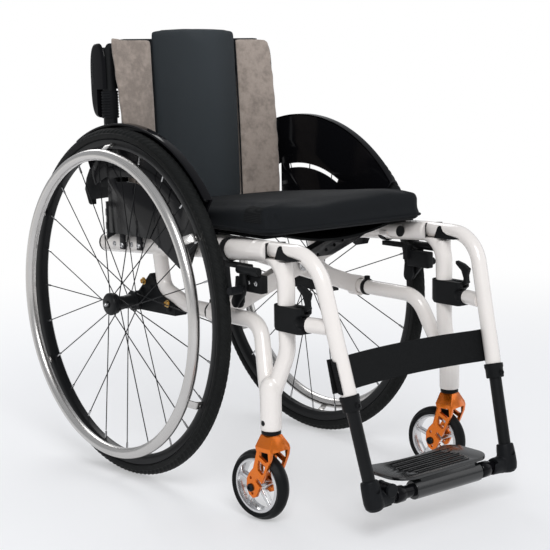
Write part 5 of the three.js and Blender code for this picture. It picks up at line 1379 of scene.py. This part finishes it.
class WHEELCHAIR_OT_back_posts(bpy.types.Operator):
    """Back posts with ribbed grips and height buttons, and the fold-down push handles"""

    bl_idname = "wheelchair.back_posts"
    bl_label = "Back posts"

    def execute(self, context):
        x, y, z = FRAME_X, *BACK_PIVOT
        shaft = tube("shaft", [(x, y, h) for h in (z + 6, 733, 734.5)], [12.4, 12.4, 11])
        half_gap = 11.6
        eye = rod("eye", (x - half_gap, y, z), (x + half_gap, y, z), 12.2, 28)
        rise = rod("rise", (x, y, z), (x, y, z + 24), 11.6)
        tongue = melt(joined("tongue", eye, rise), 0.9, 3)
        for side in (-1, 1):
            edge = x + side * half_gap
            carve(tongue, brick("flat", (edge, y - 30, z - 30), (edge + side * 30, y + 30, z + 13)))
        grip_run, grip_radii = [], []
        low, high, ribs = 612, 660, 10
        for i in range(ribs):
            start = low + (high - low) * i / ribs
            pitch = (high - low) / ribs
            for share, radius in ((0.05, 14.2), (0.25, 15.4), (0.7, 15.4), (0.9, 14.2)):
                grip_run.append((x, y, start + pitch * share))
                grip_radii.append(radius)
        grip = tube("grip", grip_run, grip_radii)
        carve(grip, brick("flat", (x - 30, y - 30, low - 5), (x + 30, y - 12.6, high + 5)))
        outline = arc(111, 722, 11, -60, 90, 10) + [(y, 730), (y, 712)]
        lug = slab("lug", outline, "x", x - 4.4, x + 4.4)
        bevel(lug, 1, 3)
        cane = lean_back(joined("cane", shaft, tongue, lug))
        both(cane, "back_cane", "black_paint", "back_{side}", "black_metal", "back_cane")
        both(lean_back(grip), "cane_grip", "soft_rubber", "back_{side}", "elbow_rubber")
        section = [(0, 0), (0, 2.9), (1, 2.9), (1.6, 2), (1.8, 0)]
        buttons = lean_back(heads("buttons", section, [(x + 12.2, y, h) for h in (672, 690)], 20))
        both(buttons, "cane_buttons", "bright_steel", "back_{side}", "bare_steel")
        self.handles()
        return {"FINISHED"}

    def handles(self):
        """Flat handle that hangs behind its post, with room for post, lug and grip."""
        x = FRAME_X
        body = slab("handle", oval(97, 678, 25, 65, 56, 3.0), "x", x - 17, x + 17)
        bevel(body, 7.5, 7, 60)
        carve(body, brick("lug_room", (x - 5, 78, 690), (x + 5, 124.2, 750)))
        carve(body, tube("cane_room", [(x, 84, h) for h in (600, 760)], 13, 32))
        carve(body, brick("front_room", (x - 13, 50, 600), (x + 13, 84, 760)))
        carve(body, brick("swing_room", (x - 13, 60, 735), (x + 13, 124.2, 752)))
        carve(body, brick("grip_room", (x - 30, 50, 600), (x + 30, 98.5, 662.5)))
        node, carrier = "push_handle", "handle_{side}"
        both(lean_back(body), node, "gloss_black", carrier, "black_gloss", node, 30)
        outline = [(105, 668), (113, 672), (113, 706), (106, 711)]
        patch = bevel(slab("patch", outline, "x", x + 16.6, x + 17.25), 0.3, 2)
        both(lean_back(patch), "handle_patch", "cast_black", carrier, "black_gloss")


class WHEELCHAIR_OT_side_guards(bpy.types.Operator):
    """Side guards: thin gloss panels whose round edge turns out over the tyre"""

    bl_idname = "wheelchair.side_guards"
    bl_label = "Side guards"

    def execute(self, context):
        x, thick, radius, band = 196, 3, 307, 221
        slot_outer, slot_inner = 215, 207
        rear, front = 62, 141
        rear_edge = 62
        turn = math.radians(front)
        tip = (radius * math.cos(turn) + 15.3, WHEEL_Z + radius * math.sin(turn) - 23)
        inner_rear = math.degrees(math.acos(rear_edge / band))
        outline = arc(0, WHEEL_Z, radius, rear, front, 60)
        outline += [tip, (tip[0] + 46, 379), (-147, 373), (-69, 414)]
        outline += [(rear_edge, 414), (rear_edge, 500)]
        outline += arc(0, WHEEL_Z, band, inner_rear, rear, 8)
        panel = slab("panel", outline, "x", x - thick / 2, x + thick / 2)
        slot_rear = math.degrees(math.acos(rear_edge / slot_outer)) + 6
        slot_front = math.degrees(math.acos(-101 / slot_outer))
        slot = arc(0, WHEEL_Z, slot_outer, slot_rear, slot_front, 40)
        slot += arc(0, WHEEL_Z, slot_inner, slot_front, slot_rear, 40)
        carve(panel, slab("slot", slot, "x", x - 10, x + 10))
        span = front - rear
        low, high = rear + span / 6, front - span / 8
        recess = arc(0, WHEEL_Z, 280, low, high, 50) + arc(0, WHEEL_Z, 238, high, low, 50)
        carve(panel, slab("recess", recess, "x", x + thick / 2 - 1.1, x + 10))
        lip_outline = arc(0, WHEEL_Z, radius, rear, front, 90)
        lip_outline += arc(0, WHEEL_Z, radius - 4, front, rear, 90)
        lip = bevel(slab("lip", lip_outline, "x", x - thick / 2, x + 13.3), 1.3, 4)
        bevel(panel, 0.6, 2)
        stud_places = (22, -30)
        tabs = [
            brick("tab", (x - 1.5, y - 8, top_z(y) - 8), (x + 1.5, y + 8, 416), 0.7, 2)
            for y in stud_places
        ]
        guard = joined("guard", panel, lip, *tabs)
        both(guard, "side_guard", "gloss_black", "{side}_side", "black_gloss", "side_guard", 30)
        section = [(-10, 0), (-10, 4.9), (1.6, 4.9), (3, 4), (3.4, 2.2), (2.2, 2), (2.2, 0)]
        studs = heads("studs", section, [(x + 1.4, y, top_z(y)) for y in stud_places], 24)
        both(studs, "guard_studs", "bright_steel", "{side}_side", "bare_steel")
        return {"FINISHED"}


# Upholstery


def swell(obj, held, pressure, cap):
    """Simulates the cover as cloth blown up over its filling, with its seams held in place."""
    last_step = 20
    wake(obj)
    obj.data.remesh_voxel_size = looks("cover_looks").voxel
    bpy.ops.object.voxel_remesh()
    start = [vertex.co.copy() for vertex in obj.data.vertices]
    seams = obj.vertex_groups.new(name="seams")
    seams.add([i for i, co in enumerate(start) if held(co / MM)], 1.0, "REPLACE")
    cloth = obj.modifiers.new("cover", "CLOTH")
    cloth.settings.vertex_group_mass = seams.name
    cloth.settings.use_pressure = True
    cloth.settings.uniform_pressure_force = pressure
    cloth.settings.effector_weights.gravity = 0
    cloth.settings.tension_stiffness = 25
    cloth.settings.bending_stiffness = 1.5
    scene = bpy.context.scene
    for step in range(1, last_step + 1):
        scene.frame_set(step)
    blown = obj.evaluated_get(bpy.context.evaluated_depsgraph_get())
    ends = [vertex.co.copy() for vertex in blown.data.vertices]
    obj.modifiers.remove(cloth)
    obj.vertex_groups.clear()
    for vertex, a, b in zip(obj.data.vertices, start, ends):
        step = b - a
        if step.length > cap * MM:
            step *= cap * MM / step.length
        vertex.co = a + step
    scene.frame_set(1)
    modify(obj, "SMOOTH", factor=0.5, iterations=3)
    return modify(obj, "SUBSURF", levels=1, render_levels=1)


def shaped(name, cells, place):
    """A cube cut into cells whose points a formula moves, u, v and w running from -1 to 1."""
    bpy.ops.mesh.primitive_cube_add(size=2)
    form = named(name)
    form.matrix_world = Matrix.Identity(4)
    modify(form, "SUBSURF", subdivision_type="SIMPLE", levels=cells, render_levels=cells)
    for vertex in form.data.vertices:
        vertex.co = spot(*place(*vertex.co))
    form.data.update()
    return tidy(form)


def rounded_plan(u, v, half_x, half_y, corner):
    """Squares a plan with round corners: u and v from -1 to 1 to millimetres."""
    x, y = u * half_x, v * half_y
    over_x, over_y = abs(x) - (half_x - corner), abs(y) - (half_y - corner)
    if over_x > 0 and over_y > 0:
        reach = math.hypot(over_x, over_y)
        limit = max(over_x, over_y)
        shrink = limit / reach if reach else 1
        x = math.copysign(half_x - corner + over_x * shrink, x)
        y = math.copysign(half_y - corner + over_y * shrink, y)
    return x, y


def soften(u, v, w, half, radius):
    """Rounds every edge of a box whose faces u, v and w reach at plus or minus one."""
    point = [share * size for share, size in zip((u, v, w), half)]
    inner = [max(radius - size, min(size - radius, p)) for p, size in zip(point, half)]
    off = [p - i for p, i in zip(point, inner)]
    reach = math.hypot(*off)
    scale = max(map(abs, off)) / reach if reach else 1
    return [(i + o * scale) / size for i, o, size in zip(inner, off, half)]


def hump(x, centre, width):
    """A soft bell of height one."""
    return math.exp(-(((x - centre) / width) ** 2))


CUSHION = {
    "half_x": 174,
    "front": -351,
    "rear": 38,
    "low": 440,
    "high": 488,
    "fall": 30,
    "corner": 30,
}


class WHEELCHAIR_OT_seat(bpy.types.Operator):
    """Seat cushion with its lower seam and side patch, on its sling between the rails"""

    bl_idname = "wheelchair.seat"
    bl_label = "Seat"

    def execute(self, context):
        size = CUSHION
        half_x, low, high = size["half_x"], size["low"], size["high"]
        half_y = (size["rear"] - size["front"]) / 2
        centre_y = (size["rear"] + size["front"]) / 2

        def outline(u, v, w):
            u, v, w = soften(u, v, w, (half_x, half_y, (high - low) / 2), 13)
            x, y = rounded_plan(u, v, half_x, half_y, size["corner"])
            fore = max(0, -v - 0.3) / 0.7
            wave = (4 * hump(x, 98, 42) - 5 * hump(x, -62, 46) + 2 * hump(x, -150, 25)) * fore
            top = high - size["fall"] * (v + 1) / 2 + 5 * (1 - u * u) * (1 - v * v) + wave
            return x, centre_y + y, low + (top - low) * (w + 1) / 2

        cushion = shaped("seat_cushion", 6, outline)

        def held(co):
            return co.z < low + 9

        swell(cushion, held, 5.0, 5.0)
        dress(cushion, "seat_cover", "seat", "seat_fabric", "seat_cushion", angle=60)
        self.gather(cushion)
        loop = []
        for i in range(200):
            t = 2 * math.pi * i / 200
            c, s = math.cos(t), math.sin(t)
            scale = 1 / max(abs(c), abs(s))
            x, y = rounded_plan(c * scale, s * scale, half_x - 0.6, half_y - 0.6, size["corner"])
            loop.append((x, centre_y + y, low + 8.5))
        cord = tube("piping", loop, looks("cover_looks").piping / MM, 12, True)
        cord.name = "cushion_seam"
        dress(cord, "seat_cover", "seat", "seat_fabric")
        self.gather(cord)
        self.patch(cushion)
        self.sling()
        return {"FINISHED"}

    def gather(self, obj):
        """Gives a piece its own mesh; the place on the left rail that it works out is not used."""
        spot(RAIL[0], 0, RAIL[1])
        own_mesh(obj)

    def patch(self, cushion):
        """Plain patch sewn on the cushion's right side, laid onto the swollen cover."""
        bpy.ops.mesh.primitive_grid_add(x_subdivisions=16, y_subdivisions=12, size=2)
        patch = named("cushion_patch")
        for vertex in patch.data.vertices:
            start = spot(-260, -307 + 21 * vertex.co.x, 472 + 12 * vertex.co.y)
            hit, place, normal, _ = cushion.ray_cast(start, Vector((1, 0, 0)))
            vertex.co = place + normal * 0.4 * MM if hit else start + Vector((0.084, 0, 0))
        patch.data.update()
        modify(patch, "SOLIDIFY", thickness=0.6 * MM, offset=1)
        in_edit_mode(patch, lambda: bpy.ops.mesh.normals_make_consistent(inside=False))
        dress(patch, "webbing", "seat", "seat_fabric", angle=50)
        self.gather(patch)

    def sling(self):
        """Webbing sling that is flat over the rails and sags between them."""
        top, sag, thick = 437.4, 16, 4
        free = (RAIL[0] - 27) / 156

        def hang(u, v, w):
            drop = sag * max(0, 1 - (u / free) ** 2)
            return 155 * u, -135 + 182 * v, top - drop - thick * (1 - w) / 2

        sling = shaped("seat_sling", 4, hang)
        dress(sling, "webbing", "seat", "seat_fabric", "seat_sling", angle=60)
        self.gather(sling)


class WHEELCHAIR_OT_backrest(bpy.types.Operator):
    """Backrest: mesh centre pad between two suede bolsters, on a fabric back panel"""

    bl_idname = "wheelchair.backrest"
    bl_label = "Backrest"

    def execute(self, context):
        self.panel()
        self.pad()
        for suffix, word, side in SIDES:
            self.bolster(suffix, word, side)
        return {"FINISHED"}

    def gather(self, obj):
        """Gives a piece its own mesh; the place by the right back post that it works out is not
        used.
        """
        spot(-153, *BACK_PIVOT)
        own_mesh(obj)

    def panel(self):
        """Thin fabric panel between the posts, bowed to the rear."""

        def place(u, v, w):
            u, v, w = soften(u, v, w, (153, 2.7, 141), 2.5)
            bow = 3 * (1 - u * u) if v > 0 else 0
            return 153 * u, 75 + 2.7 * v + bow, 607.5 + 141 * w

        panel = lean_back(shaped("back_panel", 5, place))
        dress(panel, "seat_cover", "back_right", "seat_fabric", "back_shell", angle=50)
        self.gather(panel)

    def pad(self):
        """Centre pad with an upright ridge beside its middle."""
        low, high, half = 452, 762, 91.5

        def place(u, v, w):
            u, v, w = soften(u, v, w, (half, 11, (high - low) / 2), 8)
            lift = max(0, (w + 1) / 2)
            crown = 4 * (1 - u * u) * max(0, w) ** 6
            ridge = 5 * hump(u, -0.3, 0.17) * (0.5 + 0.5 * lift)
            middle = 49 + 8 * lift ** 3 - ridge
            front = middle + (54.5 + 9 * lift * lift - middle) * abs(u) ** 2.4
            return half * u, front + (71 - front) * (v + 1) / 2, low + (high - low) * lift + crown

        pad = shaped("back_pad", 6, place)

        def held(co):
            return abs(abs(co.x) - half) < 5 or co.y - AXLE_Y / MM > 66 or co.z < low + 5

        swell(pad, held, 6.0, 5.0)
        lean_back(pad)
        dress(pad, "back_mesh", "back_right", "back_mesh", "back_pad", angle=60)
        self.gather(pad)

    def bolster(self, suffix, word, side):
        """Side pad that curves forwards at its outer edge, the more so lower down."""
        inner, low, high = 94.5, 454, 747
        outer_low, outer_high = (160, 178) if suffix == "r" else (176, 174)
        flare = 5 if suffix == "r" else -4

        def place(u, v, w):
            u, v, w = soften(u, v, w, (42, 10, (high - low) / 2), 7)
            lift, across = max(0, (w + 1) / 2), max(0, (u + 1) / 2)
            outer = outer_low + (outer_high - outer_low) * lift
            x = inner + (outer - inner) * across
            near = 54 + 9 * lift * lift
            far = 40 + 23 * lift ** 2.5
            front = near + (far - near) * across ** 1.8
            back = 70.5 - (63 - far) * 0.75 * across ** 3
            crease = 0.8 * math.sin(lift * 47 + 3 * across) * across ** 6
            z = low + (high - low) * lift + flare * (across * max(0, w)) ** 5
            return side * (x + crease), front + (back - front) * (v + 1) / 2, z

        pad = shaped("bolster", 6, place)

        def held(co):
            return abs(co.x) < inner + 4 or co.y - AXLE_Y / MM > 64 or co.z < low + 5

        swell(pad, held, 5.0, 4.5)
        lean_back(pad)
        pad.name = f"bolster_{word}"
        dress(pad, "suede", "back_right", "taupe_suede", f"bolster_{suffix}", angle=60)
        self.gather(pad)
        x = side * (inner - 1.4)
        rise = high - low - 5
        run = [(x, 56 + 9 * i * i / 144, low + 3 + rise * i / 12) for i in range(13)]
        edge = tube("seam", run, 1.5, 10)
        edge.name = f"bolster_seam_{word}"
        dress(lean_back(edge), "seat_cover", "back_right", "seat_fabric")
        self.gather(edge)


class WHEELCHAIR_OT_calf_strap(bpy.types.Operator):
    """Calf strap of webbing, slung behind the hangers and turned round their outer sides"""

    bl_idname = "wheelchair.calf_strap"
    bl_label = "Calf strap"

    def execute(self, context):
        level, height, thick, sag = 247, 49, 3, 15
        leg_x, leg_y, _ = leg_at(level)
        reach = leg_x + 15

        def place(u, v, w):
            z = level + height / 2 * w
            inside = min(1, abs(reach * u) / (leg_x - 12.5))
            lean = leg_at(z)[1] - leg_y
            behind = leg_y + 15.4 + sag * (1 - inside ** 2)
            return reach * u, behind + thick / 2 * v + lean, z

        strap = shaped("calf_strap", 5, place)
        dress(strap, "webbing", "hanger_right", "strap_web", "calf_strap", angle=40)
        spot(-leg_x, leg_y, level)
        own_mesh(strap)
        half = 24
        upper, lower = leg_at(level + half), leg_at(level - half)
        for _, word, side in SIDES:
            x = side * leg_x
            band = []
            for turn in range(0, 106, 7):
                t = math.radians(turn)
                band.append((x + side * 15.2 * math.sin(t), leg_y + 15.8 * math.cos(t)))
            inner = [(x + (a - x) * 0.86, leg_y + (b - leg_y) * 0.86) for a, b in reversed(band)]
            loop = slab("loop", band + inner, "z", level - half, level + half)
            shear = Matrix.Identity(4)
            shear[0][2] = side * (upper[0] - lower[0]) / (2 * half)
            shear[1][2] = (upper[1] - lower[1]) / (2 * half)
            centre = Matrix.Translation(spot(0, 0, level))
            moved(loop, centre @ shear @ centre.inverted())
            loop.name = f"strap_loop_{word}"
            dress(bevel(loop, 0.6, 2), "webbing", f"hanger_{word}", "strap_web")
        return {"FINISHED"}


# Stage


class WHEELCHAIR_OT_stage(bpy.types.Operator):
    """Pale floor, soft studio lights and the camera of the photograph"""

    bl_idname = "wheelchair.stage"
    bl_label = "Stage"

    def execute(self, context):
        scene = context.scene
        bpy.ops.mesh.primitive_plane_add(size=14, location=(0, 0, 0))
        floor = named("floor")
        floor.data.materials.append(self.floor_finish())
        self.camera(scene)
        self.world(scene)
        self.lamp("key", (-1.6, -2.4, 2.6), 1.6, 72)
        self.lamp("fill", (2.4, -1.4, 1.6), 2.0, 9)
        self.lamp("rim", (0.8, 2.2, 2.2), 1.6, 30)
        scene.view_settings.view_transform = "Standard"
        return {"FINISHED"}

    def floor_finish(self):
        """Pale floor that fades into the white background."""
        floor = Finish("floor", (0.85, 0.86, 0.89), 0.6)
        x, y, _ = floor.axes()
        radius = (x * x + y * y).math("SQRT")
        fade = floor.step(radius, 0.75, 2.4) * 0.64 + 0.36
        white = {"Color": (1, 1, 1, 1), "Strength": 1.0}
        glow = floor.node("ShaderNodeEmission", {}, white, "Emission")
        mixed = floor.tree.nodes.new("ShaderNodeMixShader")
        floor.tree.links.new(fade.socket, mixed.inputs[0])
        floor.tree.links.new(floor.surface.outputs[0], mixed.inputs[1])
        floor.tree.links.new(glow.socket, mixed.inputs[2])
        output = floor.tree.nodes["Material Output"]
        floor.tree.links.new(mixed.outputs[0], output.inputs["Surface"])
        return floor.made

    def camera(self, scene):
        """Camera fitted to the photograph, its focal length and shifts found in pixels."""
        focal, frame_width, right_shift, up_shift = 1396.6, 550, 1.2, -5.4
        azimuth, elevation, roll = (math.radians(d) for d in (39.1, 8.9, -0.9))
        sight = Vector(
            (
                math.sin(azimuth) * math.cos(elevation),
                math.cos(azimuth) * math.cos(elevation),
                -math.sin(elevation),
            )
        )
        right = Vector((math.cos(azimuth), -math.sin(azimuth), 0))
        up = right.cross(sight)
        right, up = (
            right * math.cos(roll) + up * math.sin(roll),
            up * math.cos(roll) - right * math.sin(roll),
        )
        distance = 2418
        target = spot(0, -150, 350)
        place = target - sight * distance * MM
        bpy.ops.object.camera_add()
        camera = bpy.context.object
        turn = Matrix((right, up, -sight)).transposed().to_4x4()
        camera.matrix_world = Matrix.Translation(place) @ turn
        sensor = 36
        camera.data.sensor_width = sensor
        camera.data.lens = focal / frame_width * sensor
        camera.data.shift_x = right_shift / frame_width
        camera.data.shift_y = up_shift / frame_width
        scene.camera = camera

    def world(self, scene):
        """Lights the chair softly, and shows white behind it."""
        world = bpy.data.worlds.new("studio")
        scene.world = world
        world.use_nodes = True
        nodes, links = world.node_tree.nodes, world.node_tree.links
        lit = nodes["Background"]
        lit.inputs["Color"].default_value = (0.95, 0.97, 1.0, 1)
        lit.inputs["Strength"].default_value = 0.5
        seen = nodes.new("ShaderNodeBackground")
        seen.inputs["Color"].default_value = (1, 1, 1, 1)
        seen.inputs["Strength"].default_value = 1.0
        path = nodes.new("ShaderNodeLightPath")
        either = nodes.new("ShaderNodeMath")
        either.operation = "MAXIMUM"
        links.new(path.outputs["Is Camera Ray"], either.inputs[0])
        links.new(path.outputs["Is Transmission Ray"], either.inputs[1])
        mix = nodes.new("ShaderNodeMixShader")
        links.new(either.outputs[0], mix.inputs[0])
        links.new(lit.outputs[0], mix.inputs[1])
        links.new(seen.outputs[0], mix.inputs[2])
        links.new(mix.outputs[0], nodes["World Output"].inputs[0])

    def lamp(self, name, place, size, power):
        """An area light aimed at the middle of the chair."""
        bpy.ops.object.light_add(type="AREA", location=place)
        light = bpy.context.object
        light.name = f"{name}_light"
        light.data.size = size
        light.data.energy = power
        aim = Vector((0, 0, 0.35)) - Vector(place)
        light.rotation_euler = aim.to_track_quat("-Z", "Y").to_euler()


OPERATORS = (
    WHEELCHAIR_OT_side_frames,
    WHEELCHAIR_OT_brackets,
    WHEELCHAIR_OT_rear_wheels,
    WHEELCHAIR_OT_casters,
    WHEELCHAIR_OT_cross_brace,
    WHEELCHAIR_OT_hangers,
    WHEELCHAIR_OT_foot_rest,
    WHEELCHAIR_OT_back_posts,
    WHEELCHAIR_OT_side_guards,
    WHEELCHAIR_OT_seat,
    WHEELCHAIR_OT_backrest,
    WHEELCHAIR_OT_calf_strap,
    WHEELCHAIR_OT_stage,
)


class WHEELCHAIR_PT_pieces(bpy.types.Panel):
    """Lists the pieces of the wheelchair in the sidebar."""

    bl_label = "Wheelchair"
    bl_idname = "WHEELCHAIR_PT_pieces"
    bl_space_type = "VIEW_3D"
    bl_region_type = "UI"
    bl_category = "Wheelchair"

    def draw(self, context):
        for group in ("frame_looks", "wheel_looks", "cover_looks"):
            box = self.layout.box()
            settings = getattr(context.scene, group)
            for key in settings.__annotations__:
                box.prop(settings, key)
        for operator in OPERATORS:
            self.layout.operator(operator.bl_idname)


GROUPS = {"frame_looks": FrameLooks, "wheel_looks": WheelLooks, "cover_looks": CoverLooks}


def register():
    for name, group in GROUPS.items():
        bpy.utils.register_class(group)
        setattr(bpy.types.Scene, name, bpy.props.PointerProperty(type=group))
    for operator in OPERATORS:
        bpy.utils.register_class(operator)
    bpy.utils.register_class(WHEELCHAIR_PT_pieces)


def unregister():
    bpy.utils.unregister_class(WHEELCHAIR_PT_pieces)
    for operator in reversed(OPERATORS):
        bpy.utils.unregister_class(operator)
    for name, group in GROUPS.items():
        delattr(bpy.types.Scene, name)
        bpy.utils.unregister_class(group)


def main():
    """Registers the classes and runs the operators in order."""
    register()
    bpy.ops.object.select_all(action="DESELECT")
    for operator in OPERATORS:
        family, name = operator.bl_idname.split(".")
        getattr(getattr(bpy.ops, family), name)()


if __name__ == "__main__":
    main()
